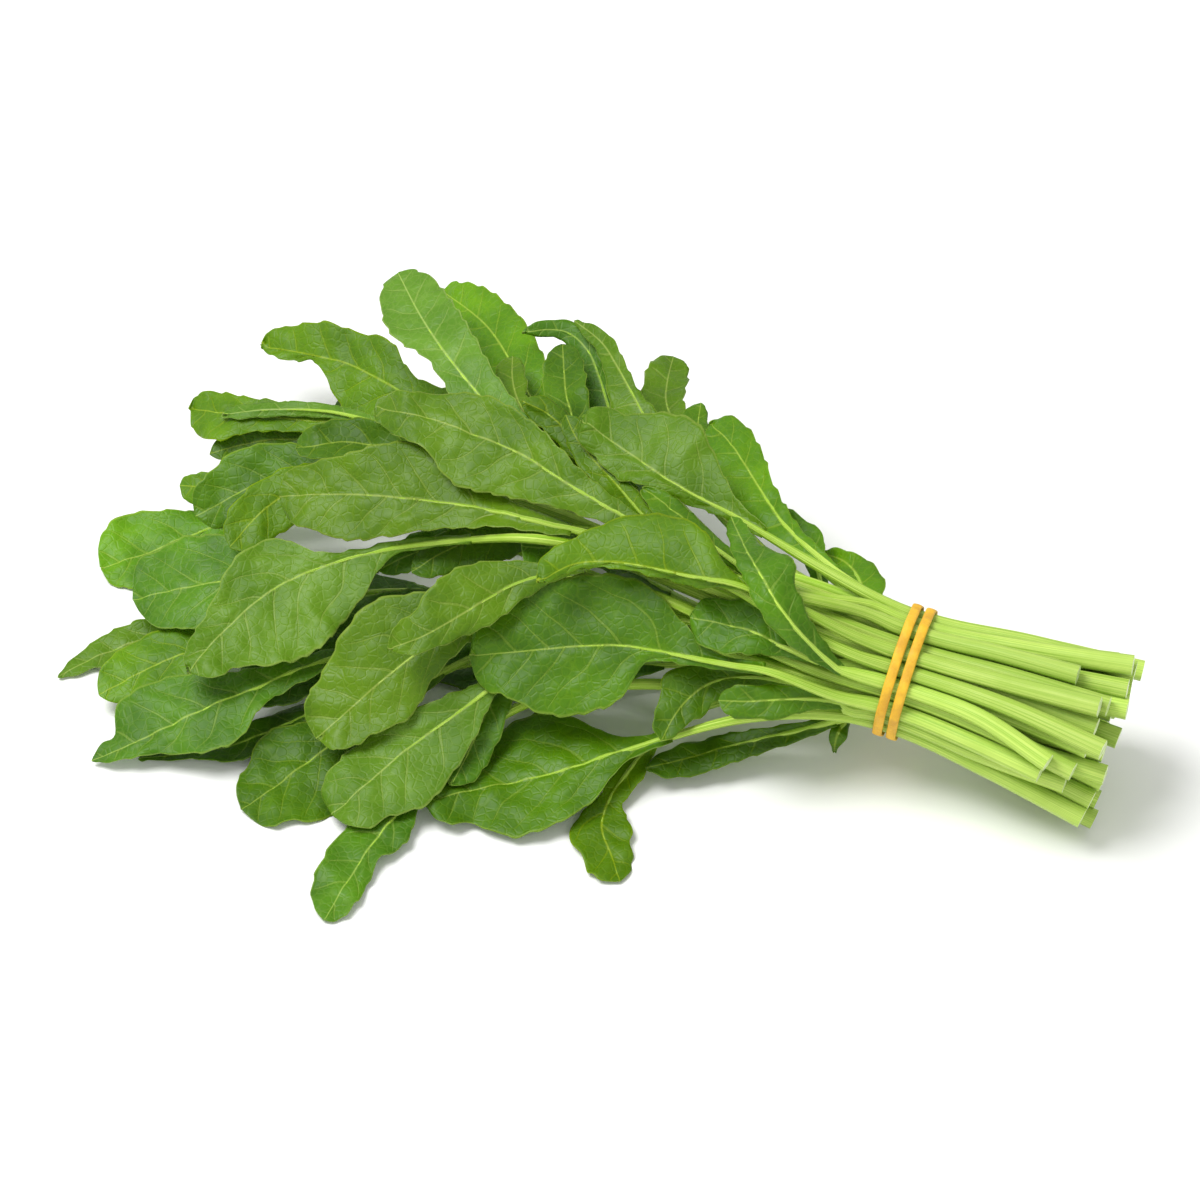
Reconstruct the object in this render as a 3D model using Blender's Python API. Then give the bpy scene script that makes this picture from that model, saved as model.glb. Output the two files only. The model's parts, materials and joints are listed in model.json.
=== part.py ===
import math
import random

import bpy
import numpy as np

# Arugula bunch lying on a surface, cut ends towards +X, blades fanned out towards -X.
# Places are given in millimetres on the sight plane: u to the right, v up, as the bunch shows
# from a low three-quarter view. Heights are above the surface that the bunch lies on.
MM = 0.001
SIGHT_AZIMUTH = math.radians(18)
SIGHT_ELEVATION = math.radians(42)
EYE_DISTANCE = 1120.0
PLANE_HEIGHT = 30.0

# Bundle of stems where the band holds it
BAND_PLACE = (85.4, -20.2)
BAND_HEIGHT = 33.0
BUNDLE_DROOP = math.radians(7.5)
STEM_PITCH = 4.4
ROW_PITCH = STEM_PITCH * math.sqrt(0.75)
HELD_LENGTH = 5.0
SPLAY_START = 12.0
SPLAY_ACROSS = 1.07
SPLAY_FRONT = 1.13
CUT_LENGTH = 57.0
CUT_SPREAD_ACROSS = 1.36
CUT_SPREAD_FRONT = 1.5

# Stem radii along a leaf
RADIUS_CUT = 2.7
RADIUS_BAND = 2.04
RADIUS_SPLAY = 1.65
RADIUS_NECK = 1.3
RADIUS_TIP = 0.35

# Blade
BLADE_THICKNESS = 0.66
RIB_DEPTH = 1.25
RIB_COLUMN = 0.42
RIB_RIDGE = 0.3
TIP_HALF_WIDTH = 0.55

# Mound of blades: depth of its face towards the viewer, and how it falls away to both sides
MOUND_DEPTH = 30.0
MOUND_FALL = 0.0078
MOUND_FALL_LEFT = 0.0022
BACK_HEIGHT = 6.0
SHEET_LENGTH = 110.0
SHEET_SPREAD = 0.022
EDGE_WAVE = 1.1
WAVE_LENGTH = 17.0
RING_STEP = 12.0
STEM_STEP = 20.0

# Laying: each leaf rests on those before it, LAY_GAP above them along the line of sight. A leaf on
# the surface is pressed flat where it would reach below it.
LAY_GAP = 0.55
PRESSED_FLAT = 1.3
PRESSED_REACH = 0.3
CLEAR_ENOUGH = 0.04
LAY_CELL = 0.75
LAY_CORNER = (-165.0, -105.0)
LAY_SIZE = (340.0, 215.0)
LAY_ROUNDS = 14
LAY_SLOPE = 0.9
EASE_ALONG = 0.4
EASE_OVER = 1.2

# Rubber band, wound twice
STRAND_WIDTH = 2.9
STRAND_THICKNESS = 1.1
STRAND_OFFSET = 1.95
BAND_GAP = 0.35
BAND_STEPS = 72
BAND_CROSSING = math.radians(46)
BAND_RAMP = math.radians(26)

SEED = 11

COLORS = {
    "deep": (0.045, 0.125, 0.012),
    "mid": (0.085, 0.21, 0.02),
    "pale": (0.16, 0.33, 0.06),
    "bright": (0.15, 0.33, 0.012),
    "band": (0.82, 0.5, 0.05),
}

# Leaves row by row through the bundle, the back row first. Each leaf holds its name, its tone, its
# heights at the middle and the tip, how far it lies level (1) or faces the viewer (0), how far its
# edges stand up against its half-width, how round its tip is, and its stations from neck to tip:
# u, v, half-width on the left and on the right as it grows.
ROUND = 0.5
BLUNT = 0.38
POINTED = 0.9
ROWS = [
    [
        ("under_leaf_1", "deep", (1.6, 0.2), 1.0, 0.0, ROUND,
         [(20, 2, 1.5, 1.5), (-14, 22, 7, 7), (-38, 36, 12, 12), (-58, 48, 10, 10), (-73, 57, 0, 0)]),
        ("under_leaf_2", "deep", (1.6, 0.2), 1.0, 0.0, ROUND,
         [(34, 6, 1.5, 1.5), (18, 22, 6, 6), (2, 38, 10, 10), (-10, 50, 8, 8), (-18, 59, 0, 0)]),
        ("under_leaf_3", "deep", (0.8, 0.2), 1.0, 0.0, ROUND,
         [(18, -18, 1.5, 1.5), (-10, -18, 8, 8), (-38, -12, 13, 13), (-66, -4, 11, 11), (-84, 1, 0, 0)]),
    ],
    [
        ("band_leaf_1", "bright", (32, 26), 0.1, 0.1, POINTED,
         [(74, -3.5, 1.4, 1.6), (73.5, 2, 2, 6.5), (71.5, 7.5, 3, 5.5), (68, 11, 3, 3), (62, 13, 0, 0)]),
        ("band_leaf_2", "mid", (34, 30), 0.1, 0.1, POINTED,
         [(63, 1, 1.4, 1.4), (60.5, 10, 3, 2.6), (58.5, 16, 3, 4.6), (54, 20, 3.4, 4),
          (49, 23.5, 3.4, 3.6), (42, 27, 0, 0)]),
        ("back_leaf_1", "bright", (28, 24), 0.1, 0.0, BLUNT,
         [(-20, 40, 1.5, 1.5), (-44, 51, 7, 8), (-56, 58.5, 10, 6), (-64, 63, 13, 11),
          (-71.5, 66.5, 9.5, 9), (-78, 68, 2.6, 10), (-87, 69.8, 2.8, 6.8), (-94.5, 71, 0, 0)]),
        ("top_leaf_3", "bright", (44, 40), 0.0, -0.1, ROUND,
         [(6, 28, 1.5, 1.5), (-14, 48, 6, 5), (-24, 65, 10, 9), (-32, 77, 9, 8.5), (-44, 86.5, 0, 0)]),
        ("left_leaf_6", "deep", (4, 1.4), 0.8, 0.0, POINTED,
         [(-60, -24, 1.5, 1.5), (-84, -33, 5, 4), (-102, -40.5, 4.5, 4), (-116, -43.2, 1.6, 3),
          (-129, -44.5, 0, 0)]),
        ("stem_leaf", "mid", (12, 4), 0.2, 0.0, POINTED,
         [(69, -33.5, 1.4, 1.4), (66.5, -37.5, 2.8, 2.2), (65.5, -43, 0, 0)]),
    ],
    [
        ("top_leaf_6", "pale", (36, 32), 0.0, 0.05, BLUNT,
         [(34, 28, 1.5, 1.5), (22, 47, 7, 4.5), (18.5, 56, 6.8, 5), (19, 62, 6.5, 5.8),
          (20.5, 68, 0, 0)]),
        ("top_leaf_7", "mid", (42, 42), 0.0, 0.0, ROUND,
         [(48, 22, 1.5, 1.5), (32, 37, 4, 3.5), (27.5, 47, 5.5, 3), (28.2, 55, 0, 0)]),
        ("top_leaf_4", "mid", (50, 55), 0.0, -0.2, ROUND,
         [(16, 34, 1.5, 1.5), (4, 50, 5, 3), (0, 62, 6, 2.2), (-3.5, 70, 5, 3), (-10, 75.2, 2.6, 3),
          (-21.5, 75, 0, 0)]),
        ("back_leaf_9", "bright", (8, 3), 0.6, 0.05, BLUNT,
         [(-76, 23, 1.5, 1.5), (-104, 21.5, 3, 3), (-121, 15.5, 7.5, 10), (-130, 12, 8.5, 12),
          (-139.5, 9, 0, 0)]),
        ("back_leaf_6", "bright", (20, 15), 0.4, 0.0, BLUNT,
         [(-70, 34, 1.4, 1.4), (-92, 33.5, 4, 4), (-106, 31.5, 6.5, 4.4), (-117.5, 32, 0, 0)]),
        ("left_leaf_3", "pale", (6, 1.2), 0.7, 0.0, POINTED,
         [(-78, 0, 1.5, 1.5), (-105, -5, 5, 5), (-122, -9, 6, 5), (-135, -13.5, 5.5, 5),
          (-144, -17.5, 2.4, 3), (-151.5, -21.5, 0, 0)]),
        ("front_leaf_6", "bright", (3, 1.2), 0.7, 0.05, ROUND,
         [(16, -38, 1.4, 1.4), (8, -48, 4.5, 3), (2.5, -56, 4.2, 3), (0.5, -64, 8.4, 9), (3, -71, 6, 8),
          (5.5, -78.5, 0, 0)]),
    ],
    [
        ("top_leaf_9", "bright", (46, 44), 0.0, -0.1, ROUND,
         [(66, 8, 1.5, 1.5), (53, 19.5, 5, 3), (45.5, 30, 9, 4), (40.5, 38, 10, 6), (36, 44.5, 7.5, 6.5),
          (31, 49, 0, 0)]),
        ("top_leaf_5", "pale", (55, 58), 0.0, 0.12, POINTED,
         [(28, 30, 1.5, 1.5), (14.5, 48, 6, 4), (9, 58, 7, 2), (4.5, 66, 4, 2.5), (0.5, 72, 2.6, 3),
          (-7, 78, 0, 0)]),
        ("top_leaf_13", "pale", (52, 54), 0.0, 0.1, BLUNT,
         [(0, 30, 1.5, 1.5), (-16, 45, 3.5, 3.5), (-22.5, 55, 5.5, 2.6), (-24.5, 62, 4.8, 3.8),
          (-24.5, 68, 0, 0)]),
        ("top_leaf_12", "mid", (52, 58), 0.0, 0.15, ROUND,
         [(10, 30, 1.5, 1.5), (-5, 45, 6, 5), (-9, 55, 6.5, 6), (-10, 63, 6, 6), (-10.5, 71.5, 0, 0)]),
        ("back_leaf_4", "mid", (28, 24), 0.2, 0.1, ROUND,
         [(-45, 37, 1.5, 1.5), (-75, 43, 4, 4.5), (-89, 45, 4.5, 4.6), (-100, 43.5, 4, 4.4),
          (-109, 41, 0, 0)]),
        ("left_leaf_4", "bright", (14, 7), 0.6, 0.05, ROUND,
         [(-72, -6, 1.5, 1.5), (-100, -11, 5, 5), (-116, -15, 7, 8), (-129, -20.5, 6, 8.4),
          (-140, -26.5, 0, 0)]),
        ("middle_leaf_5", "deep", (20, 12), 0.5, 0.0, ROUND,
         [(0, -4, 1.5, 1.5), (-30, -6, 9, 9), (-60, -10, 12, 12), (-85, -18, 10, 9), (-101, -26, 0, 0)]),
        ("front_leaf_8", "deep", (10, 4), 0.5, 0.0, POINTED,
         [(66, -34, 1.4, 1.4), (54, -37, 3, 2.4), (42, -39.5, 4.4, 3), (30, -42.8, 5, 4),
          (20.5, -45.4, 4.8, 4), (13, -47, 0, 0)]),
    ],
    [
        ("back_leaf_2", "bright", (34, 27), 0.25, 0.1, BLUNT,
         [(-36, 40, 1.5, 1.5), (-70, 49, 3.4, 4), (-86, 50.5, 3.6, 4.4), (-98, 52, 5.4, 4.6),
          (-107, 52.5, 8.2, 6), (-114.5, 53.5, 0, 0)]),
        ("back_leaf_3", "pale", (36, 31), 0.0, 0.0, ROUND,
         [(-52, 46, 1.4, 1.4), (-74, 52.5, 2, 2), (-88, 53.3, 2, 2.2), (-98, 52.8, 2, 2.2),
          (-105.5, 51.8, 0, 0)]),
        ("back_leaf_7", "mid", (34, 24), 0.3, 0.08, ROUND,
         [(-42, 28, 1.5, 1.5), (-74, 33.5, 7, 7), (-88, 34, 9, 10), (-98, 31.5, 9.5, 11),
          (-106.5, 27, 7, 8.4), (-113, 23.5, 0, 0)]),
        ("top_leaf_2", "pale", (58, 60), 0.0, 0.08, ROUND,
         [(-8, 32, 1.5, 1.5), (-22, 44, 5, 6), (-34, 57.5, 6.6, 7.2), (-44, 70, 5.2, 9.6),
          (-50.5, 80, 10, 9.5), (-56.5, 91.5, 0, 0)]),
        ("left_leaf_1", "mid", (26, 16), 0.6, 0.0, ROUND,
         [(-62, 9, 1.5, 1.5), (-88, 7, 6, 6), (-104, 5.5, 11.5, 12.5), (-113, 4, 12.4, 14),
          (-122, 2.2, 10.5, 11.5), (-130.5, 0, 0, 0)]),
        ("front_leaf_7", "mid", (6, 1.5), 0.75, 0.0, ROUND,
         [(-44, -20, 1.5, 1.5), (-64, -32, 7, 6), (-76, -41, 13, 9.5), (-86, -48.5, 16, 13.5),
          (-94, -54.5, 10, 9), (-100, -58.5, 0, 0)]),
        ("front_leaf_5", "mid", (4, 1.4), 0.8, 0.0, ROUND,
         [(-40, -42, 1.4, 1.4), (-53, -56, 3.2, 3), (-60, -63.5, 7.4, 7), (-65.5, -71, 4, 9.4),
          (-70.5, -78.5, 5.6, 9.2), (-77, -89.5, 0, 0)]),
    ],
    [
        ("back_leaf_8", "bright", (42, 34), 0.2, 0.05, ROUND,
         [(-48, 33, 1.5, 1.5), (-76, 34, 7, 5), (-88, 29.5, 8.5, 7), (-96, 23.5, 8, 7.2),
          (-103.5, 15, 0, 0)]),
        ("top_leaf_11", "bright", (50, 60), 0.0, 0.1, ROUND,
         [(12, 26, 1.5, 1.5), (-3, 40, 3.5, 3), (-11, 49, 4.5, 3.6), (-16, 53, 4, 3.6),
          (-21.5, 55.5, 0, 0)]),
        ("top_leaf_10", "bright", (50, 60), 0.0, 0.2, ROUND,
         [(30, 9, 1.5, 1.5), (12, 24, 2.8, 2.8), (5, 32, 4, 3.2), (-2, 39.5, 4.4, 3.2), (-7, 46, 3, 3.8),
          (-9.5, 51.5, 0, 0)]),
        ("top_leaf_8", "pale", (55, 59), 0.0, -0.06, BLUNT,
         [(46, 18.5, 1.6, 1.8), (35, 25, 2.2, 5), (27, 29, 3, 12), (17, 35, 4.5, 18),
          (9, 40.5, 7.6, 14.5), (2.5, 45, 6.6, 8.5), (-5, 50.5, 0, 0)]),
        ("left_leaf_5", "mid", (16, 2), 0.6, 0.05, POINTED,
         [(-60, -12, 1.6, 1.6), (-84, -19.5, 3.4, 4), (-96, -24.6, 5.4, 6), (-105.5, -28.4, 11, 8.4),
          (-115, -32.6, 11.2, 12.6), (-124.5, -37.2, 6.6, 13), (-131, -40.4, 3.8, 10.6),
          (-134.5, -42, 3, 4.6), (-142, -45, 0, 0)]),
        ("middle_leaf_6", "mid", (40, 36), 0.3, 0.1, ROUND,
         [(-14, 20, 1.5, 1.5), (-38, 17.5, 4, 3.4), (-50, 14, 5, 5), (-62, 8.5, 0, 0)]),
        ("front_leaf_4", "mid", (8, 2), 0.75, -0.04, ROUND,
         [(20, -38.2, 1.7, 1.7), (6, -42.5, 3.4, 4.5), (-4, -45.8, 10, 13.5), (-16, -49.2, 14.4, 17.5),
          (-28, -51.7, 14.6, 12.5), (-39, -54, 9, 5.6), (-49.5, -56.6, 0, 0)]),
        ("band_leaf_5", "mid", (28, 20), 0.2, 0.05, ROUND,
         [(56, -23, 1.5, 1.5), (41, -21.6, 3.5, 2.4), (32, -22.8, 5, 5.4), (25, -27.5, 6.2, 9.4),
          (20.5, -33, 4, 5.4), (17.4, -39, 0, 0)]),
    ],
    [
        ("back_leaf_5", "mid", (48, 44), 0.2, 0.25, ROUND,
         [(-22, 32, 1.5, 1.5), (-46, 40, 6, 7), (-60, 43, 6, 7.2), (-74, 44, 5, 6.4),
          (-84.5, 42.5, 0, 0)]),
        ("middle_leaf_4", "mid", (52, 56), 0.0, 0.1, ROUND,
         [(46, 5, 1.5, 1.5), (30, 16.5, 3, 2.6), (20.5, 25, 4.2, 3), (12.5, 31, 0, 0)]),
        ("middle_leaf_2", "mid", (42, 38), 0.2, 0.15, ROUND,
         [(-2, 13, 1.5, 1.5), (-20, 18, 4.6, 4), (-32, 17.5, 8.4, 6.6), (-42, 14.4, 6.4, 5),
          (-52.5, 8, 0, 0)]),
        ("middle_leaf_3", "mid", (46, 50), 0.1, 0.25, BLUNT,
         [(20, 9, 1.5, 1.5), (0, 15, 4.4, 4), (-10, 14.8, 7, 5.4), (-17, 14.6, 7.2, 6.6),
          (-21.5, 15, 0, 0)]),
        ("front_leaf_3", "mid", (15, 8), 0.25, 0.0, ROUND,
         [(-18, -13, 1.5, 1.5), (-28, -24, 5, 5), (-33, -34, 6.4, 7), (-37, -43, 6.2, 7),
          (-41.5, -51.5, 0, 0)]),
        ("front_leaf_2", "pale", (16, 3), 0.3, 0.0, ROUND,
         [(-18, -15, 1.6, 1.6), (-31, -25, 2.6, 3), (-40, -31.8, 8.6, 6), (-50, -38.8, 13.4, 8),
          (-59, -46, 15.2, 10), (-67, -53, 11, 10.4), (-75, -60, 0, 0)]),
        ("band_leaf_6", "mid", (34, 32), 0.1, 0.0, BLUNT,
         [(70, -29.4, 1.5, 1.5), (60, -27.8, 3.2, 3), (49, -28, 5.4, 4.2), (41, -28.4, 5.2, 4.4),
          (33.5, -28.2, 0, 0)]),
    ],
    [
        ("left_leaf_2", "pale", (40, 26), 0.35, 0.0, ROUND,
         [(-36, 17, 1.6, 1.6), (-60, 14, 3, 2), (-68, 12.2, 10, 2), (-77, 9.5, 16.5, 4),
          (-86, 6, 20.5, 12.5), (-95, 0.5, 20.5, 13), (-103, -6.5, 16.5, 8), (-109.5, -13, 9, 5.6),
          (-115, -20, 0, 0)]),
        ("middle_leaf_1", "pale", (56, 50), 0.25, 0.04, BLUNT,
         [(-8, 19.5, 1.6, 1.6), (-30, 25, 4.6, 5), (-44, 27.3, 7.6, 13), (-58, 28.8, 11, 15.6),
          (-72, 29.6, 13, 11), (-82, 29.4, 9.4, 8.6), (-89.5, 29, 0, 0)]),
        ("top_leaf_1", "pale", (68, 64), 0.1, -0.03, ROUND,
         [(32, 8.5, 2, 2), (8, 22.5, 3.2, 2.8), (-9, 32.5, 7.8, 5.4), (-22, 40.8, 13.2, 9.2),
          (-36, 46.6, 15, 11.4), (-48.5, 51, 8, 7), (-63, 53.8, 0, 0)]),
        ("front_leaf_1", "pale", (31, 14), 0.2, -0.03, BLUNT,
         [(-22, 2, 1.8, 1.8), (-41, -8, 6, 12), (-52, -15.5, 8.8, 19), (-61.5, -23, 13, 17),
          (-70.5, -31, 9.6, 12), (-79, -38.5, 0, 0)]),
        ("center_leaf", "mid", (38, 31), 0.15, 0.0, BLUNT,
         [(46, -19.4, 2, 2), (30, -16.9, 2.4, 3), (20, -15, 2.6, 10.5), (13.5, -13.8, 4.4, 16),
          (8.5, -13, 13, 18.5), (-3, -12.8, 18.8, 20), (-18, -14, 18, 17), (-29, -15, 11.6, 11.4),
          (-36, -15.6, 0, 0)]),
        ("band_leaf_3", "mid", (46, 44), 0.1, -0.1, BLUNT,
         [(62, -17.6, 1.5, 1.5), (52, -13.4, 2.8, 3), (44, -9.4, 6.4, 8.4), (35, -6.8, 8.2, 7.2),
          (25.5, -5, 0, 0)]),
    ],
    [
        ("leaf_over_front", "pale", (48, 42), 0.15, -0.06, ROUND,
         [(4, 12, 1.6, 1.6), (-14, 7.4, 2.8, 3), (-24, 4.4, 5.2, 7.2), (-33, -0.6, 6.8, 11.6),
          (-42, -6, 5.6, 11), (-50, -10.4, 4.2, 7), (-59, -13.6, 0, 0)]),
        ("curled_leaf", "bright", (60, 58), 0.0, -0.3, ROUND,
         [(48, 1.5, 1.8, 1.8), (36, 5, 2, 3.4), (28, 6.2, 3, 12.4), (16, 8.6, 2.4, 15.6),
          (3, 10.6, 1.8, 11.4), (-8, 9.8, 2, 6.6), (-17, 5, 0, 0)]),
        ("band_leaf_4", "mid", (60, 62), 0.0, -0.06, ROUND,
         [(68, -20.6, 1.5, 1.5), (61, -14.5, 3.2, 3.2), (53, -5.6, 5.6, 5.4), (48.4, 1, 5.6, 7.4),
          (45.6, 6, 5, 10.4), (42, 12, 4.4, 5), (39, 18, 3.2, 3.2), (36.8, 23, 0, 0)]),
    ],
]

# The frontmost stems stray down across the others towards their cut ends, in mm at the end
STRAYS = {"curled_leaf": 1.0, "leaf_over_front": -4.0, "band_leaf_4": -10.0, "front_leaf_1": -2.5}
ROW_SHIFT = [2.5, -2.0, 1.5, -1.5, 2.0, -2.5, 2.0, -1.5, 0.0]
SHORT_CUTS = {"band_leaf_4": 0.76, "top_leaf_1": 0.72, "band_leaf_6": 0.9, "center_leaf": 0.86}


def unit(vector):
    return vector / np.linalg.norm(vector, axis=-1, keepdims=True)


cosA = math.cos(SIGHT_AZIMUTH)
sinA = math.sin(SIGHT_AZIMUTH)
cosE = math.cos(SIGHT_ELEVATION)
sinE = math.sin(SIGHT_ELEVATION)
RIGHT = np.array((cosA, sinA, 0.0))
UP = np.array((-sinA * sinE, cosA * sinE, cosE))
TOWARD = np.array((sinA * cosE, -cosA * cosE, sinE))
SIGHT_AXES = np.array((RIGHT, UP, TOWARD))
PLANE_CENTER = np.array((0.0, 0.0, PLANE_HEIGHT))


def placeFromSight(uvw):
    """Points in space, in mm, from places u, v on the sight plane and depths w towards the eye."""
    uvw = np.asarray(uvw, float)
    near = 1.0 - uvw[..., 2:3] / EYE_DISTANCE
    flat = np.concatenate((uvw[..., :2] * near, uvw[..., 2:3]), axis=-1)
    return flat @ SIGHT_AXES + PLANE_CENTER


def sightFromPlace(points):
    flat = (np.asarray(points, float) - PLANE_CENTER) @ SIGHT_AXES.T
    near = 1.0 - flat[..., 2:3] / EYE_DISTANCE
    return np.concatenate((flat[..., :2] / near, flat[..., 2:3]), axis=-1)


def depthAtHeight(v, height):
    """Depth at which the sight line through v passes a height above the surface."""
    return (height - PLANE_HEIGHT - v * cosE) / (sinE - v * cosE / EYE_DISTANCE)


def heightAtDepth(v, depth):
    return PLANE_HEIGHT + v * cosE * (1.0 - depth / EYE_DISTANCE) + depth * sinE


BAND_DEPTH = depthAtHeight(BAND_PLACE[1], BAND_HEIGHT)
BAND_CENTER = placeFromSight((*BAND_PLACE, BAND_DEPTH))
AXIS = np.array((math.cos(BUNDLE_DROOP), 0.0, -math.sin(BUNDLE_DROOP)))
FRONT = unit(TOWARD - AXIS * (TOWARD @ AXIS))
ACROSS = np.cross(FRONT, AXIS)
if ACROSS @ UP < 0:
    ACROSS = -ACROSS


def smoothSteps(values, knots, steps):
    """Cubic curve through values at rising knots, with slopes from the neighbours."""
    values = np.asarray(values, float)
    knots = np.asarray(knots, float)
    slopes = np.gradient(values, knots, axis=0)
    index = np.clip(np.searchsorted(knots, steps, side="right") - 1, 0, len(knots) - 2)
    span = knots[index + 1] - knots[index]
    t = (steps - knots[index]) / span
    shape = (-1,) + (1,) * (values.ndim - 1)
    t = t.reshape(shape)
    span = span.reshape(shape)
    start = values[index] * (2 * t**3 - 3 * t**2 + 1) + slopes[index] * span * (t**3 - 2 * t**2 + t)
    end = values[index + 1] * (3 * t**2 - 2 * t**3) + slopes[index + 1] * span * (t**3 - t**2)
    return start + end


def bladeRings(stations, tipShape, wavePhase):
    """Centres, directions and half-widths of a blade's rings, on the sight plane."""
    data = np.array(stations, float)
    steps = np.linalg.norm(np.diff(data[:, :2], axis=0), axis=1)
    knots = np.concatenate(((0.0,), np.cumsum(steps)))
    places = []
    for k in range(len(knots) - 2):
        count = max(1, round((knots[k + 1] - knots[k]) / RING_STEP))
        places += [knots[k] + (knots[k + 1] - knots[k]) * i / count for i in range(count)]
    last = knots[-2]
    tipLength = knots[-1] - last
    places += [last, last + 0.5 * tipLength, last + 0.82 * tipLength, last + 0.98 * tipLength]
    places = np.array(places)
    center = smoothSteps(data[:, :2], knots, places)
    ahead = smoothSteps(data[:, :2], knots, np.minimum(places + 0.5, knots[-1]))
    behind = smoothSteps(data[:, :2], knots, np.maximum(places - 0.5, 0.0))
    direction = unit(ahead - behind)
    widths = data[:-1, 2:]
    wide = smoothSteps(widths, knots[:-1], np.minimum(places, last))
    wide = np.maximum(wide, RADIUS_NECK)
    closing = np.clip((places - last) / tipLength, 0.0, 1.0)
    wide = wide * ((1.0 - closing**2) ** tipShape)[:, None]
    wide = np.maximum(wide, TIP_HALF_WIDTH)
    wave = np.sin(2 * math.pi * places / WAVE_LENGTH + wavePhase)
    return places, knots[-1], center, direction, wide, wave


class Lay:
    """Depth of what has been laid so far, on a grid over the sight plane."""

    def __init__(self):
        self.u0, self.v0 = LAY_CORNER
        self.nu = int(LAY_SIZE[0] / LAY_CELL)
        self.nv = int(LAY_SIZE[1] / LAY_CELL)
        vs = self.v0 + (np.arange(self.nv) + 0.5) * LAY_CELL
        ground = depthAtHeight(vs, -PRESSED_FLAT) - LAY_GAP
        self.depth = np.repeat(ground[None, :], self.nu, axis=0)

    def cells(self, tri):
        """Grid cells that a triangle covers, with its depth at each."""
        grid = (tri[:, :2] - (self.u0, self.v0)) / LAY_CELL - 0.5
        low = np.maximum(np.floor(grid.min(0) - 0.3).astype(int), 0)
        high = np.minimum(np.ceil(grid.max(0) + 0.3).astype(int), (self.nu - 1, self.nv - 1))
        if (high < low).any():
            return None
        edge1 = grid[1] - grid[0]
        edge2 = grid[2] - grid[0]
        area = edge1[0] * edge2[1] - edge1[1] * edge2[0]
        if abs(area) < 0.02:
            return None
        columns = np.arange(low[0], high[0] + 1)
        lines = np.arange(low[1], high[1] + 1)
        iu, iv = np.meshgrid(columns, lines, indexing="ij")
        du = iu - grid[0, 0]
        dv = iv - grid[0, 1]
        b = (du * edge2[1] - dv * edge2[0]) / area
        c = (dv * edge1[0] - du * edge1[1]) / area
        a = 1.0 - b - c
        slack = -0.3 / max(math.sqrt(abs(area)), 1.0)
        inside = (a >= slack) & (b >= slack) & (c >= slack)
        if not inside.any():
            return None
        w = a * tri[0, 2] + b * tri[1, 2] + c * tri[2, 2]
        w = np.clip(w, tri[:, 2].min(), tri[:, 2].max())
        shares = np.stack((a, b, c), axis=-1)
        return iu[inside], iv[inside], w[inside], shares[inside]

    def shortfalls(self, points, triangles, clearOf):
        """How far each triangle's corners must rise to clear what lies under it."""
        need = np.zeros(len(points))
        for tri in triangles:
            found = self.cells(points[tri])
            if found is None:
                continue
            iu, iv, w, shares = found
            short = self.depth[iu, iv] + LAY_GAP - w
            short = np.where(clearOf(iu, iv), short, 0.0)
            if short.max() > 0:
                wanted = (short[:, None] * np.clip(2.0 * shares, 0.0, 1.0)).max(axis=0)
                need[tri] = np.maximum(need[tri], wanted)
        return need

    def add(self, points, triangles):
        top = np.full_like(self.depth, -1e6)
        for tri in triangles:
            found = self.cells(points[tri])
            if found is not None:
                iu, iv, w, _ = found
                np.maximum.at(top, (iu, iv), w)
        grown = top.copy()
        grown[1:] = np.maximum(grown[1:], top[:-1])
        grown[:-1] = np.maximum(grown[:-1], top[1:])
        wide = grown.copy()
        wide[:, 1:] = np.maximum(wide[:, 1:], grown[:, :-1])
        wide[:, :-1] = np.maximum(wide[:, :-1], grown[:, 1:])
        self.depth = np.maximum(self.depth, wide)

    def outsideBundle(self, iu, iv):
        u = self.u0 + (iu + 0.5) * LAY_CELL - BAND_PLACE[0]
        v = self.v0 + (iv + 0.5) * LAY_CELL - BAND_PLACE[1]
        return u * sightAxis[0] + v * sightAxis[1] < -SPLAY_START


sightAxis = unit(np.array((AXIS @ RIGHT, AXIS @ UP)))
DROOP_DEPTH = (AXIS @ TOWARD) / np.linalg.norm((AXIS @ RIGHT, AXIS @ UP))


def sheetDepth(u, v, row):
    """Depth of a row's sheet: the rows keep their order from the band out into the mound."""
    away = np.maximum(0.0, (BAND_PLACE[0] - u) * sightAxis[0] + (BAND_PLACE[1] - v) * sightAxis[1])
    near = BAND_DEPTH - DROOP_DEPTH * away + row * (ROW_PITCH * SPLAY_FRONT + SHEET_SPREAD * away)
    front = MOUND_DEPTH - MOUND_FALL * (v + 15.0) ** 2 - MOUND_FALL_LEFT * np.maximum(0.0, 30.0 - u) ** 2
    back = depthAtHeight(v, BACK_HEIGHT)
    far = back + (front - back) * ((row + 4) / 8.0) ** 0.75
    part = np.minimum(1.0, away / SHEET_LENGTH)
    return near + (far - near) * part * part * (3.0 - 2.0 * part)


def radiusAlong(distance):
    """Stem radius by distance from the band: below zero towards the blades."""
    return np.interp(distance, (-60, -SPLAY_START, -HELD_LENGTH, HELD_LENGTH, CUT_LENGTH),
                     (RADIUS_NECK, RADIUS_SPLAY, RADIUS_BAND, RADIUS_BAND, RADIUS_CUT))


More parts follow.
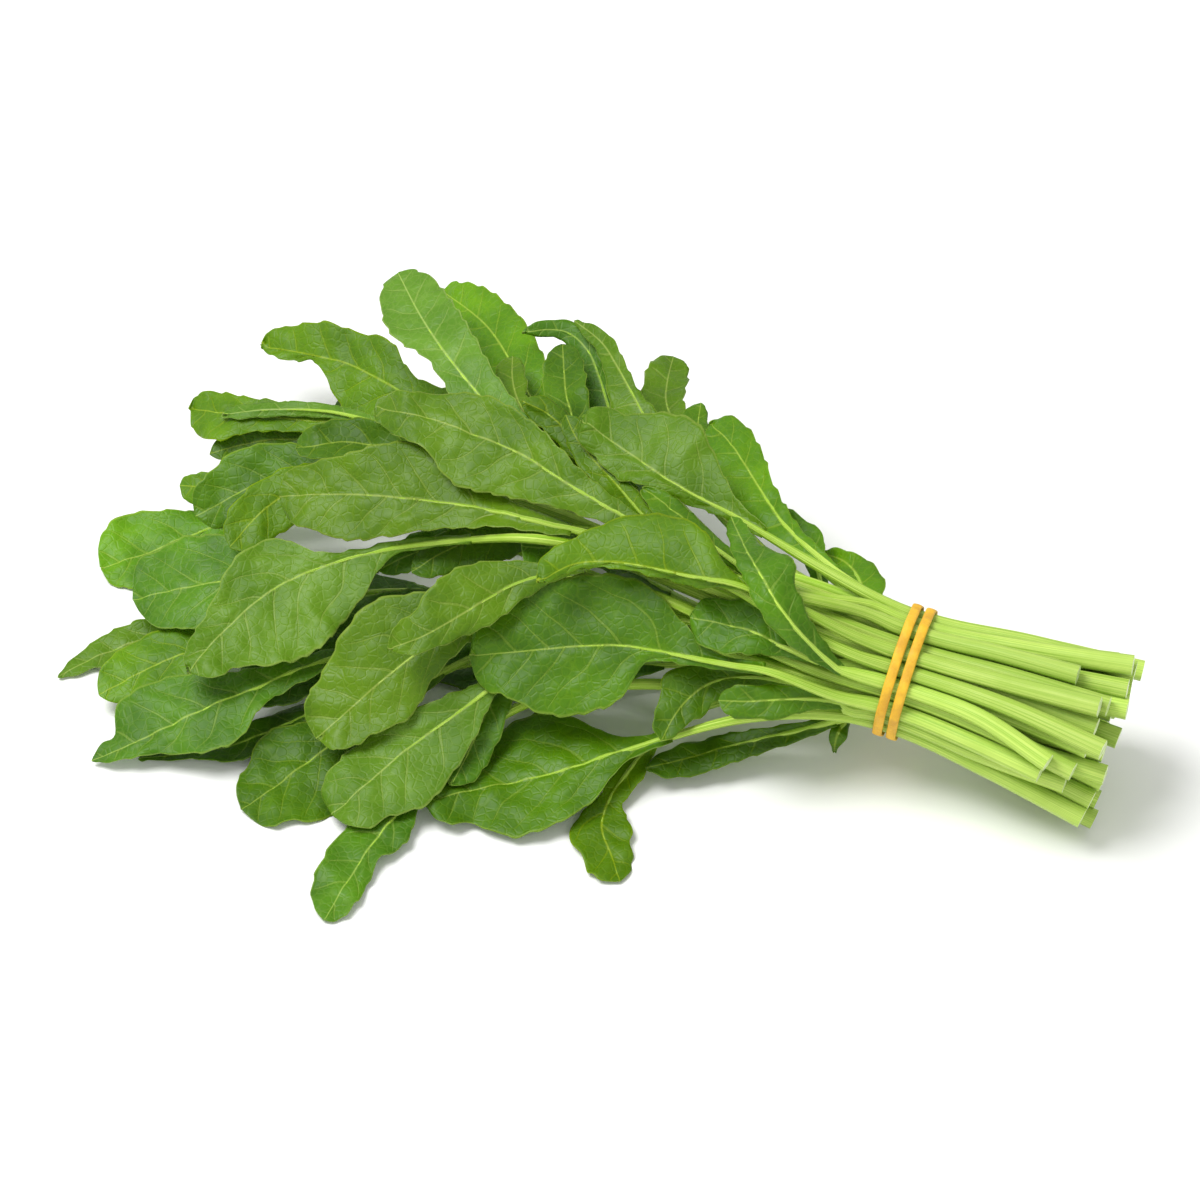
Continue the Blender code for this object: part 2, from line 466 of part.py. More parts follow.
def bundlePoint(across, row, distance, shift):
    """Centre of a stem near the band, on a close packing that opens on both sides."""
    if distance >= 0:
        part = max(0.0, distance - HELD_LENGTH) / (CUT_LENGTH - HELD_LENGTH)
        openAcross = 1.0 + (CUT_SPREAD_ACROSS - 1.0) * part
        openFront = 1.0 + (CUT_SPREAD_FRONT - 1.0) * part**0.8
        aside = shift * max(0.0, part - 0.25) ** 1.5 / 0.65
    else:
        part = max(0.0, -distance - HELD_LENGTH) / (SPLAY_START - HELD_LENGTH)
        openAcross = 1.0 + (SPLAY_ACROSS - 1.0) * part
        openFront = 1.0 + (SPLAY_FRONT - 1.0) * part
        aside = 0.0
    place = BAND_CENTER + AXIS * distance
    place = place + ACROSS * (across * STEM_PITCH * openAcross + aside)
    return place + FRONT * (row * ROW_PITCH * openFront)


class Leaf:
    def __init__(self, entry, row, rng):
        self.name, self.tone, self.heights, self.level, self.cup, self.tipShape, self.stations = entry
        self.row = row
        self.rng = rng
        self.length = CUT_LENGTH * SHORT_CUTS.get(self.name, 1.0) + rng.uniform(-5.5, 4.5)
        self.shift = ROW_SHIFT[row + 4] + STRAYS.get(self.name, 0.0) + rng.uniform(-0.6, 0.6)
        self.cutTilt = (rng.uniform(-0.35, 0.35), rng.uniform(-0.35, 0.35))
        self.wavePhase = rng.uniform(0, 2 * math.pi)
        first = np.array(self.stations[0][:2])
        second = np.array(self.stations[1][:2])
        middle = 0.5 * (first + second) - BAND_PLACE
        self.fan = math.atan2(middle[1], -middle[0])

    def lay(self, across):
        """Middle surface of the whole leaf as rings of five points: left edge to right edge."""
        rings = bladeRings(self.stations, self.tipShape, self.wavePhase)
        places, total, center, direction, wide, wave = rings
        share = places / total
        mid, high = self.heights
        neckU, neckV = self.stations[0][:2]
        low = heightAtDepth(neckV, sheetDepth(neckU, neckV, self.row))
        height = low * (1 - share) * (1 - 2 * share)
        height += mid * 4 * share * (1 - share)
        height += high * share * (2 * share - 1)
        depth = depthAtHeight(center[:, 1], height)
        aside = np.stack((-direction[:, 1], direction[:, 0]), axis=1)
        blade = np.zeros((len(places), 5, 3))
        sides = (wide[:, 0], RIB_COLUMN * wide[:, 0], 0 * places, -RIB_COLUMN * wide[:, 1], -wide[:, 1])
        for column, offset in enumerate(sides):
            blade[:, column, :2] = center + aside * offset[:, None]
            crossSlope = -self.level * cosE / sinE * aside[:, 1] * offset
            lift = self.cup * np.abs(offset) * np.abs(offset) / wide.max(1)
            edge = 1.0 if column in (0, 4) else 0.35
            ripple = EDGE_WAVE * edge * wave * np.minimum(1.0, np.abs(offset) / 6.0)
            if column > 2:
                ripple = -ripple
            blade[:, column, 2] = depth + crossSlope + lift + ripple
        neck = blade[0, 2]
        neckWay = unit(blade[1, 2, :2] - neck[:2])

        distances = [self.length, 0.5 * self.length, HELD_LENGTH, -HELD_LENGTH, -SPLAY_START]
        stem = [bundlePoint(across, self.row, d, self.shift) for d in distances]
        radii = [float(radiusAlong(d)) for d in distances]
        self.fixedRings = len(stem)
        start = sightFromPlace(stem[-1])
        startWay = unit(start[:2] - sightFromPlace(stem[-2])[:2])
        reach = np.linalg.norm(neck[:2] - start[:2])
        aside = start[2] - sheetDepth(start[0], start[1], self.row)
        count = max(1, round(reach / STEM_STEP))
        for i in range(1, count):
            t = i / count
            place = (2 * t**3 - 3 * t**2 + 1) * start[:2] + (t**3 - 2 * t**2 + t) * startWay * reach
            place = place + (3 * t**2 - 2 * t**3) * neck[:2] + (t**3 - t**2) * neckWay * reach
            depth = sheetDepth(place[0], place[1], self.row) + aside * (1 - t) ** 2
            stem.append(placeFromSight((*place, depth)))
            radii.append(RADIUS_SPLAY + (RADIUS_NECK - RADIUS_SPLAY) * t)
        stem = np.array(stem)
        radii = np.array(radii)
        stemRings = np.zeros((len(stem), 5, 3))
        way = unit(np.gradient(np.vstack((stem, placeFromSight(neck))), axis=0))[:-1]
        front = unit(TOWARD - way * (way @ TOWARD)[:, None])
        right = np.cross(way, front)
        for column, part in enumerate((-1.0, -0.5, 0.0, 0.5, 1.0)):
            stemRings[:, column] = sightFromPlace(stem + right * (part * radii)[:, None])
        self.stemCount = len(stem)
        self.middle = np.concatenate((stemRings, blade))
        bladeRadii = RADIUS_TIP + (RADIUS_NECK - RADIUS_TIP) * (1 - share) ** 0.8
        self.radii = np.concatenate((radii, bladeRadii))
        self.lift = np.zeros(self.middle.shape[:2])
        self.triangles, self.topTriangles = self.faces()

    def faces(self):
        """Triangles over all rings: alike on the upper and the lower face."""
        self.start = []
        count = 0
        rings = len(self.middle)
        for ring in range(rings):
            self.start.append(count)
            count += 6 if ring < self.stemCount else 10
        self.pointCount = count
        rest = []
        top = []

        def quad(a, b, c, d):
            return [(a, b, c), (a, c, d)]

        first = self.start[0]
        rest += [(first, first + 1, first + 2), (first, first + 2, first + 3)]
        rest += [(first, first + 3, first + 4), (first, first + 4, first + 5)]
        for ring in range(rings - 1):
            p = self.start[ring]
            q = self.start[ring + 1]
            if ring + 1 < self.stemCount:
                for side in range(6):
                    after = (side + 1) % 6
                    pair = quad(p + side, q + side, q + after, p + after)
                    if side < 2:
                        top += pair
                    else:
                        rest += pair
            elif ring < self.stemCount:
                for side, inner in ((0, 0), (1, 2)):
                    a, b = p + side, p + side + 1
                    c, m, d = q + inner, q + inner + 1, q + inner + 2
                    top += [(a, c, m), (a, m, b), (b, m, d)]
                for side, inner in ((3, 5), (4, 7)):
                    a, b = p + side, p + side + 1
                    c, m, d = q + inner, q + inner + 1, q + inner + 2
                    rest += [(a, c, m), (a, m, b), (b, m, d)]
                rest += quad(p + 2, q + 4, q + 5, p + 3)
                rest += quad(p + 5, q + 9, q + 0, p + 0)
            else:
                for side in range(4):
                    top += quad(p + side, q + side, q + side + 1, p + side + 1)
                    under = 9 - side
                    rest.append((p + under, q + under - 1, q + under))
                    rest.append((p + under, p + under - 1, q + under - 1))
                rest += quad(p + 4, q + 4, q + 5, p + 5)
                rest += quad(p + 9, q + 9, q + 0, p + 0)
        last = self.start[-1]
        for side in range(4):
            upper = last + side
            under = last + 9 - side
            rest += [(upper, under, under - 1), (upper, under - 1, upper + 1)]
        return np.array(rest + top), len(top)

    def points(self):
        """Corner points of all rings at the present lift, in space."""
        raised = self.middle.copy()
        raised[:, :, 2] += self.lift
        grid = placeFromSight(raised)
        center = grid[:, 2]
        way = unit(np.gradient(center, axis=0))
        front = unit(TOWARD - way * (way @ TOWARD)[:, None])
        right = np.cross(way, front)
        along = np.gradient(grid, axis=0)
        over = np.gradient(grid, axis=1)
        normal = np.cross(along, over)
        normal = unit(normal)
        normal = np.where((normal @ TOWARD)[..., None] < 0, -normal, normal)
        result = np.zeros((self.pointCount, 3))
        for ring in range(len(grid)):
            p = self.start[ring]
            if ring < self.stemCount:
                r = self.radii[ring]
                for corner, angle in enumerate((150, 90, 30, -30, -90, -150)):
                    cosT = math.cos(math.radians(angle))
                    sinT = math.sin(math.radians(angle))
                    spot = center[ring] + r * (cosT * right[ring] + sinT * front[ring])
                    if ring == 0:
                        spot = spot + way[0] * r * (self.cutTilt[0] * cosT + self.cutTilt[1] * sinT)
                    result[p + corner] = spot
            else:
                half = 0.5 * BLADE_THICKNESS
                rib = RIB_DEPTH * self.radii[ring]
                for column in range(5):
                    upper = half + (RIB_RIDGE * self.radii[ring] if column == 2 else 0.0)
                    lower = half + (rib if column == 2 else 0.0)
                    result[p + column] = grid[ring, column] + normal[ring, column] * upper
                    result[p + 9 - column] = grid[ring, column] - normal[ring, column] * lower
        return result

    def settle(self, lay):
        """Raise the leaf along the line of sight until it clears what was laid before it."""
        ringOf = np.zeros(self.pointCount, int)
        columnOf = np.zeros(self.pointCount, int)
        for ring, p in enumerate(self.start):
            if ring < self.stemCount:
                ringOf[p:p + 6] = ring
                columnOf[p:p + 6] = (0, 2, 4, 4, 2, 0)
            else:
                ringOf[p:p + 10] = ring
                columnOf[p:p + 10] = (0, 1, 2, 3, 4, 4, 3, 2, 1, 0)
        under = self.triangles[:len(self.triangles) - self.topTriangles]
        fixed = self.fixedRings
        center = placeFromSight(self.middle[:, 2])
        ringSteps = np.concatenate(((0.0,), np.cumsum(np.linalg.norm(np.diff(center, axis=0), axis=1))))
        room = np.maximum(0.0, ringSteps - ringSteps[fixed - 1]) * LAY_SLOPE
        worst = 0.0
        for _ in range(LAY_ROUNDS):
            spots = sightFromPlace(self.points())
            need = lay.shortfalls(spots, under, lay.outsideBundle)
            worst = need.max()
            if worst < CLEAR_ENOUGH:
                break
            more = np.zeros_like(self.lift)
            np.maximum.at(more, (ringOf, columnOf), need)
            more[:self.stemCount] = more[:self.stemCount].max(axis=1)[:, None]
            self.lift += 1.03 * more
            apart = np.abs(ringSteps[:, None] - ringSteps[None, :]) * EASE_ALONG
            self.lift = (self.lift[None, :, :] - apart[:, :, None]).max(axis=1)
            across = np.abs(np.arange(5)[:, None] - np.arange(5)[None, :]) * EASE_OVER
            self.lift = (self.lift[:, None, :] - across[None]).max(axis=2)
            self.lift[:self.stemCount] = self.lift[:self.stemCount].max(axis=1)[:, None]
            self.lift = np.minimum(self.lift, room[:, None])
        self.worst = worst
        result = self.points()
        result[result[:, 2] < PRESSED_REACH, 2] = 0.0
        for ring in range(self.stemCount, len(self.middle)):
            p = self.start[ring]
            for column in range(5):
                top = result[p + column]
                top[2] = max(top[2], result[p + 9 - column][2] + BLADE_THICKNESS)
        lay.add(sightFromPlace(result), self.triangles)
        return result


def makeMaterial(name, tone, roughness):
    material = bpy.data.materials.new(name)
    material.use_nodes = True
    shader = material.node_tree.nodes["Principled BSDF"]
    shader.inputs["Base Color"].default_value = (*COLORS[tone], 1.0)
    shader.inputs["Roughness"].default_value = roughness
    shader.inputs["Metallic"].default_value = 0.0
    return material


def makeObject(name, tone, roughness, points, triangles, shift):
    mesh = bpy.data.meshes.new(name)
    mesh.from_pydata(((points + shift) * MM).tolist(), [], triangles.tolist())
    mesh.validate()
    item = bpy.data.objects.new(name, mesh)
    bpy.context.scene.collection.objects.link(item)
    item.data.materials.append(makeMaterial(name, tone, roughness))
    return item


def outward(points, triangles):
    """Turn the triangles over where the solid they close would be inside out."""
    a, b, c = (points[triangles[:, k]] for k in range(3))
    volume = np.einsum("ij,ij->i", a, np.cross(b, c)).sum()
    return triangles[:, ::-1] if volume < 0 else triangles


def makeBand(slots):
    """One closed loop wound twice round the stems; the turns cross once, out of sight behind."""
    flat = np.array([(across * STEM_PITCH, row * ROW_PITCH) for across, row in slots])
    hug = RADIUS_BAND + BAND_GAP + 0.5 * STRAND_THICKNESS
    crossing = BAND_CROSSING
    ramp = BAND_RAMP
    back = math.radians(270)
    turns = np.linspace(0, 4 * math.pi, BAND_STEPS, endpoint=False) + back + 0.5 * math.pi
    rings = []
    for turn in turns:
        angle = turn % (2 * math.pi)
        fromBack = (angle - back + math.pi) % (2 * math.pi) - math.pi
        way = np.array((math.cos(angle), math.sin(angle)))
        hub = flat[np.argmax(flat @ way)]
        passing = np.clip(fromBack / crossing, -1.0, 1.0)
        ease = math.sin(0.5 * math.pi * passing)
        # Before the back the strand is on the side of the turn it leaves, after it on the next
        leaving = ((turn - back + math.pi) // (2 * math.pi)) % 2
        side = (1.0 if leaving else -1.0) * ease
        near = np.clip((crossing + ramp - abs(fromBack)) / ramp, 0.0, 1.0)
        rise = (STRAND_THICKNESS + BAND_GAP) * near * near * (3 - 2 * near) if leaving else 0.0
        spot = hub + way * (hug + rise)
        middle = BAND_CENTER + ACROSS * spot[0] + FRONT * spot[1] + AXIS * (STRAND_OFFSET * side)
        out = ACROSS * way[0] + FRONT * way[1]
        for aside, up in ((-1, -1), (1, -1), (1, 1), (-1, 1)):
            rings.append(middle + AXIS * aside * 0.5 * STRAND_WIDTH + out * up * 0.5 * STRAND_THICKNESS)
    points = np.array(rings)
    triangles = []
    total = len(points)
    for ring in range(BAND_STEPS):
        p = 4 * ring
        q = (4 * ring + 4) % total
        for side in range(4):
            after = (side + 1) % 4
            triangles += [(p + side, q + side, q + after), (p + side, q + after, p + after)]
    return points, np.array(triangles)


def main():
    for item in list(bpy.data.objects):
        bpy.data.objects.remove(item, do_unlink=True)
    rng = random.Random(SEED)
    lay = Lay()
    built = []
    slots = []
    for index, entries in enumerate(ROWS):
        row = index - 4
        leaves = [Leaf(entry, row, rng) for entry in entries]
        order = sorted(leaves, key=lambda leaf: leaf.fan)
        for place, leaf in enumerate(order):
            leaf.across = place - 0.5 * (len(order) - 1)
        for leaf in leaves:
            slots.append((leaf.across, row))
            leaf.lay(leaf.across)
            points = leaf.settle(lay)
            built.append((leaf, points))
            if leaf.worst > CLEAR_ENOUGH:
                print("leaf still short of clear:", leaf.name, round(float(leaf.worst), 2))
    bandPoints, bandTriangles = makeBand(slots)
    everything = np.concatenate([points for _, points in built] + [bandPoints])
    low = everything.min(0)
    high = everything.max(0)
    shift = np.array((-0.5 * (low[0] + high[0]), -0.5 * (low[1] + high[1]), -low[2]))
    for leaf, points in built:
        makeObject(leaf.name, leaf.tone, 0.45, points, outward(points, leaf.triangles), shift)
    makeObject("rubber_band", "band", 0.6, bandPoints, outward(bandPoints, bandTriangles), shift)
    count = sum(len(leaf.triangles) for leaf, _ in built) + len(bandTriangles)
    print("leaves", len(built), "triangles", count)
    print("size in mm", np.round(high - low, 1), "lowest", round(float(low[2]), 2))


if __name__ == "__main__":
    main()
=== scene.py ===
import json
import math
import random
import bmesh
import bpy
import numpy as np
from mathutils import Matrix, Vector, noise
from mathutils.bvhtree import BVHTree


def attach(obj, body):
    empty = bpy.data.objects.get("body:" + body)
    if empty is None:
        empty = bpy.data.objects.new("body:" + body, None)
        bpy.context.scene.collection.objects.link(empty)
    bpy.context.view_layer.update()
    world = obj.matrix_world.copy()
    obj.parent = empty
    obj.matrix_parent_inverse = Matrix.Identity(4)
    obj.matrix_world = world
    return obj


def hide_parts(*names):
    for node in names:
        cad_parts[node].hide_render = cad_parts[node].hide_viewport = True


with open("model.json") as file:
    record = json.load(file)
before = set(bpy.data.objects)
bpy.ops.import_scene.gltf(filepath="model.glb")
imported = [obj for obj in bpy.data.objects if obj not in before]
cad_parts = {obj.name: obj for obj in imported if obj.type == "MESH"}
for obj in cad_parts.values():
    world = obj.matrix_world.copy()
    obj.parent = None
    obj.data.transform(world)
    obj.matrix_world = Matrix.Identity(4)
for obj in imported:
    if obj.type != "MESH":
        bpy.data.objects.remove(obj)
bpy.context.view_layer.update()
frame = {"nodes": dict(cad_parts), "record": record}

mm = 0.001
weld = 3e-6             # metres: corners nearer than this are one
bladeCorners = 10       # corners in a ring of a solid's blade, where a stalk's ring has 6
solidBlade = 0.66       # mm thick, the solids' blades

# Where the camera looks from. The leaves' front faces turn this way too.
view = {"azimuth": 18.0, "elevation": 42.0, "distance": 1.12, "lens": 120.0, "sensor": 36.0,
        "target": (0.00209, -0.00407, 0.030)}


def unit(vectors):
    length = np.linalg.norm(vectors, axis=-1, keepdims=True)
    return vectors / np.maximum(length, 1e-12)


def linear(hexCode):
    parts = [int(hexCode[i:i + 2], 16) / 255.0 for i in (0, 2, 4)]
    parts = [c / 12.92 if c <= 0.04045 else ((c + 0.055) / 1.055) ** 2.4 for c in parts]
    return (*parts, 1.0)


azimuth = math.radians(view["azimuth"])
elevation = math.radians(view["elevation"])
toward = np.array((math.sin(azimuth) * math.cos(elevation),
                   -math.cos(azimuth) * math.cos(elevation), math.sin(elevation)))


def addNode(tree, kind, settings=None, inputs=None):
    # one node with its settings, and its inputs given as values or as the sockets to link from
    node = tree.nodes.new(kind)
    for key, value in (settings or {}).items():
        setattr(node, key, value)
    for key, value in (inputs or {}).items():
        socket = node.inputs[key]
        if isinstance(value, bpy.types.NodeSocket):
            tree.links.new(value, socket)
        else:
            socket.default_value = value
    return node


def newMaterial(name):
    material = bpy.data.materials.new(name)
    material.use_nodes = True
    tree = material.node_tree
    tree.nodes.clear()
    output = tree.nodes.new("ShaderNodeOutputMaterial")
    return material, tree, output


def math1(tree, operation, a, b=None, c=None):
    inputs = {0: a}
    if b is not None:
        inputs[1] = b
    if c is not None:
        inputs[2] = c
    return addNode(tree, "ShaderNodeMath", {"operation": operation}, inputs).outputs[0]


def mixColor(tree, factor, a, b):
    node = addNode(tree, "ShaderNodeMix", {"data_type": "RGBA"})
    for index, value in ((0, factor), (6, a), (7, b)):
        socket = node.inputs[index]
        if isinstance(value, bpy.types.NodeSocket):
            tree.links.new(value, socket)
        else:
            socket.default_value = value
    return node.outputs[2]


def noiseOf(tree, place, scale, detail):
    return addNode(tree, "ShaderNodeTexNoise", None,
                   {"Vector": place, "Scale": scale, "Detail": detail}).outputs["Fac"]


def ramp(tree, value, low, high, outLow=0.0, outHigh=1.0):
    return addNode(tree, "ShaderNodeMapRange", {"interpolation_type": "SMOOTHSTEP"},
                   {"Value": value, "From Min": low, "From Max": high,
                    "To Min": outLow, "To Max": outHigh}).outputs["Result"]


# What a user may change in a leaf's form and pattern
leafLook = {
    "alongStep": 0.95, "acrossStep": 1.0,       # mm between the rows and columns of a blade
    "blade": 0.36, "margin": 0.2,               # mm thick, inside and at the edge
    "veinSpacing": 10.5,                        # mm between side veins
    "veinSlant": 0.85, "veinBend": 0.018,       # mm forward per mm out, and per mm out squared
    "veinReach": 0.9,                           # share of the half width that a side vein crosses
    "veinRadius": 0.2, "veinTaper": 0.12,       # mm at the midrib, and mm lost on the way out
    "veinDip": 0.3, "pucker": 0.75,             # mm of relief
    "ripple": 0.7, "scallop": 0.8, "scallopLength": 7.4,
    "reach": 1.2,                               # mm that a fine blade may leave the solid's form
    "seed": 23,
}

# How each kind of leaf looks: its face, the shade that mottles it, its underside, its veins and margin
leafTones = {
    "leaf_deep": {"face": "3E7208", "shade": "285303", "back": "6C923A", "vein": "9CBC50"},
    "leaf_mid": {"face": "4F8510", "shade": "386A06", "back": "799E46", "vein": "A9C65C"},
    "leaf_pale": {"face": "63922A", "shade": "4C7C16", "back": "86A956", "vein": "B3CC70"},
    "leaf_bright": {"face": "629C0C", "shade": "488004", "back": "8AAF3E", "vein": "B4CF58"},
}


# Living leaf tissue: a waxy skin over wet cells. The eye gets a soft satin sheen, paler veins, a
# fine pale line along the margin and, through the thin blade, some light from behind.
def makeLeafMaterial(slot, tone, under):
    material, tree, output = newMaterial(("leafUnderside_" if under else "leafFace_") + slot[5:])
    place = addNode(tree, "ShaderNodeUVMap", {"uv_map": "veinPlace"}).outputs["UV"]
    grow = addNode(tree, "ShaderNodeUVMap", {"uv_map": "leafPlace"}).outputs["UV"]
    objectPlace = addNode(tree, "ShaderNodeTexCoord").outputs["Object"]
    veinX, veinY, _ = addNode(tree, "ShaderNodeSeparateXYZ", None, {0: place}).outputs
    tipward, edgeward, _ = addNode(tree, "ShaderNodeSeparateXYZ", None, {0: grow}).outputs
    tint = addNode(tree, "ShaderNodeAttribute", {"attribute_name": "leafTint"}).outputs["Fac"]

    wander = noiseOf(tree, objectPlace, 90.0, 1.0)
    cloud = noiseOf(tree, objectPlace, 60.0, 3.0)
    grain = noiseOf(tree, objectPlace, 900.0, 2.0)
    crinkle = noiseOf(tree, objectPlace, 125.0, 1.5)

    # side veins: one line for each whole number of veinX, thinner towards the margin
    phase = math1(tree, "ADD", veinX, math1(tree, "MULTIPLY_ADD", wander, 0.24, -0.12))
    nearest = math1(tree, "ABSOLUTE", math1(tree, "SUBTRACT", math1(tree, "FRACT", phase), 0.5))
    away = math1(tree, "MULTIPLY", math1(tree, "SUBTRACT", 0.5, nearest), leafLook["veinSpacing"])
    wide = ramp(tree, edgeward, 0.0, 0.95, 0.34, 0.1)
    sideVein = math1(tree, "SUBTRACT", 1.0, ramp(tree, away, wide, math1(tree, "ADD", wide, 0.22)))
    sideVein = math1(tree, "MULTIPLY", sideVein, ramp(tree, edgeward, 0.7, 0.98, 1.0, 0.0))
    # midrib, and the net of small veins between, cells about 2 mm across
    ribEdge = math1(tree, "MULTIPLY_ADD", tipward, -0.8, 1.0)
    midrib = math1(tree, "SUBTRACT", 1.0, ramp(tree, math1(tree, "ABSOLUTE", veinY), 0.05, ribEdge))
    net = addNode(tree, "ShaderNodeTexVoronoi", {"feature": "DISTANCE_TO_EDGE"},
                  {"Vector": objectPlace, "Scale": 430.0, "Randomness": 1.0})
    netLine = math1(tree, "SUBTRACT", 1.0, ramp(tree, net.outputs["Distance"], 0.0, 0.16))
    # the margin's thin pale edge
    margin = ramp(tree, edgeward, 0.945, 0.985)

    face = linear(tone["back"] if under else tone["face"])
    shade = linear(tone["face"] if under else tone["shade"])
    color = mixColor(tree, ramp(tree, cloud, 0.3, 0.72), shade, face)
    # how much of the pale vein colour each marking takes
    for marking, share in ((netLine, 0.07), (sideVein, 0.21), (midrib, 0.6), (margin, 0.35),
                           (grain, 0.05)):
        color = mixColor(tree, math1(tree, "MULTIPLY", marking, share), color, linear(tone["vein"]))
    bright = addNode(tree, "ShaderNodeHueSaturation", None,
                     {"Hue": math1(tree, "MULTIPLY_ADD", tint, 0.012, 0.484),
                      "Saturation": math1(tree, "MULTIPLY_ADD", tint, -0.1, 1.12),
                      "Value": math1(tree, "MULTIPLY_ADD", tint, 0.34, 0.78),
                      "Color": color}).outputs["Color"]

    height = math1(tree, "MULTIPLY_ADD", crinkle, 0.75, math1(tree, "MULTIPLY", cloud, 0.5))
    height = math1(tree, "MULTIPLY_ADD", netLine, 0.16 if under else -0.16, height)
    height = math1(tree, "MULTIPLY_ADD", sideVein, 0.4 if under else -0.3, height)
    height = math1(tree, "MULTIPLY_ADD", grain, 0.06, height)
    bump = addNode(tree, "ShaderNodeBump", None, {"Strength": 0.55, "Distance": 0.0008, "Height": height})
    shader = addNode(tree, "ShaderNodeBsdfPrincipled", None,
                     {"Base Color": bright, "Roughness": ramp(tree, cloud, 0.2, 0.8, 0.5, 0.4),
                      "IOR": 1.42, "Specular IOR Level": 0.42, "Normal": bump.outputs["Normal"]})
    through = addNode(tree, "ShaderNodeBsdfTranslucent", None,
                      {"Color": mixColor(tree, 0.5, bright, linear("B5DB3A")),
                       "Normal": bump.outputs["Normal"]})
    blend = addNode(tree, "ShaderNodeMixShader", None,
                    {0: 0.22, 1: shader.outputs[0], 2: through.outputs[0]})
    tree.links.new(blend.outputs[0], output.inputs["Surface"])
    return material


# Fresh stalk: pale, wet and ribbed lengthwise, so it shows long fine streaks and a soft shine
def makeStalkMaterial():
    material, tree, output = newMaterial("freshStalkRibbed")
    along = addNode(tree, "ShaderNodeAttribute", {"attribute_name": "stalkAlong"}).outputs["Fac"]
    around = addNode(tree, "ShaderNodeAttribute", {"attribute_name": "stalkAround"}).outputs["Fac"]
    tint = addNode(tree, "ShaderNodeAttribute", {"attribute_name": "leafTint"}).outputs["Fac"]
    objectPlace = addNode(tree, "ShaderNodeTexCoord").outputs["Object"]
    streakPlace = addNode(tree, "ShaderNodeCombineXYZ", None,
                          {0: math1(tree, "MULTIPLY", around, 9.0), 1: math1(tree, "MULTIPLY", along, 16.0),
                           2: math1(tree, "MULTIPLY", tint, 30.0)})
    streakAndGrooveShade = addNode(tree, "ShaderNodeTexNoise", None,
                     {"Vector": streakPlace.outputs[0], "Scale": 1.0, "Detail": 3.0, "Roughness": 0.6})
    cloud = noiseOf(tree, objectPlace, 120.0, 2.0)
    # dark and light streaks from the same noise that sets the bump below, so the dark ones lie in its
    # grooves: the stalk's own streaks with painted shade in the grooves
    color = mixColor(tree, ramp(tree, streakAndGrooveShade.outputs["Fac"], 0.3, 0.7), linear(stemLook["dark"]),
                     linear(stemLook["light"]))
    color = mixColor(tree, ramp(tree, cloud, 0.35, 0.8, 0.0, 0.4), color, linear("8AB42E"))
    # greener on the midrib, paler where the stalk is cut
    color = mixColor(tree, ramp(tree, along, 0.0, 0.12, 0.45, 0.0), color, linear("BFD67C"))
    color = mixColor(tree, ramp(tree, along, 0.15, 0.34, 0.0, 0.35), color, linear("7CA730"))
    color = addNode(tree, "ShaderNodeHueSaturation", None,
                    {"Saturation": 1.08, "Value": math1(tree, "MULTIPLY_ADD", tint, 0.3, 0.9),
                     "Color": color}).outputs["Color"]
    bump = addNode(tree, "ShaderNodeBump", None,
                   {"Strength": 0.5, "Distance": 0.0004, "Height": streakAndGrooveShade.outputs["Fac"]})
    shader = addNode(tree, "ShaderNodeBsdfPrincipled", None,
                     {"Base Color": color, "Roughness": 0.36, "IOR": 1.42, "Specular IOR Level": 0.4,
                      "Normal": bump.outputs["Normal"]})
    tree.links.new(shader.outputs[0], output.inputs["Surface"])
    return material


# Cut flesh: wet, pale and finely pitted, a matt disc at each stalk's end
def makeFleshMaterial():
    material, tree, output = newMaterial("cutStalkFlesh")
    objectPlace = addNode(tree, "ShaderNodeTexCoord").outputs["Object"]
    pits = addNode(tree, "ShaderNodeTexVoronoi", None, {"Vector": objectPlace, "Scale": 1800.0})
    cloud = noiseOf(tree, objectPlace, 500.0, 2.0)
    color = mixColor(tree, ramp(tree, cloud, 0.3, 0.7), linear("C2DC86"), linear("EAF3C8"))
    pit = ramp(tree, pits.outputs["Distance"], 0.0, 0.5, 0.35, 0.0)
    color = mixColor(tree, pit, color, linear("9DBE5E"))
    bump = addNode(tree, "ShaderNodeBump", None,
                   {"Strength": 0.6, "Distance": 0.0003, "Height": pits.outputs["Distance"]})
    shader = addNode(tree, "ShaderNodeBsdfPrincipled", None,
                     {"Base Color": color, "Roughness": 0.5, "IOR": 1.4, "Normal": bump.outputs["Normal"]})
    tree.links.new(shader.outputs[0], output.inputs["Surface"])
    return material


# Natural rubber, cut from a tube and powdered: warm yellow, matt, with fine cross grain
def makeRubberMaterial():
    material, tree, output = newMaterial("naturalRubberPowdered")
    objectPlace = addNode(tree, "ShaderNodeTexCoord").outputs["Object"]
    cloud = noiseOf(tree, objectPlace, 260.0, 3.0)
    grain = noiseOf(tree, objectPlace, 1900.0, 2.0)
    color = mixColor(tree, ramp(tree, cloud, 0.3, 0.75), linear(bandLook["dark"]),
                     linear(bandLook["light"]))
    color = mixColor(tree, math1(tree, "MULTIPLY", grain, 0.3), color, linear("F8D24E"))
    height = math1(tree, "MULTIPLY_ADD", grain, 0.5, cloud)
    bump = addNode(tree, "ShaderNodeBump", None, {"Strength": 0.8, "Distance": 0.0004, "Height": height})
    shader = addNode(tree, "ShaderNodeBsdfPrincipled", None,
                     {"Base Color": color, "Roughness": 0.55, "IOR": 1.52,
                      "Normal": bump.outputs["Normal"]})
    tree.links.new(shader.outputs[0], output.inputs["Surface"])
    return material


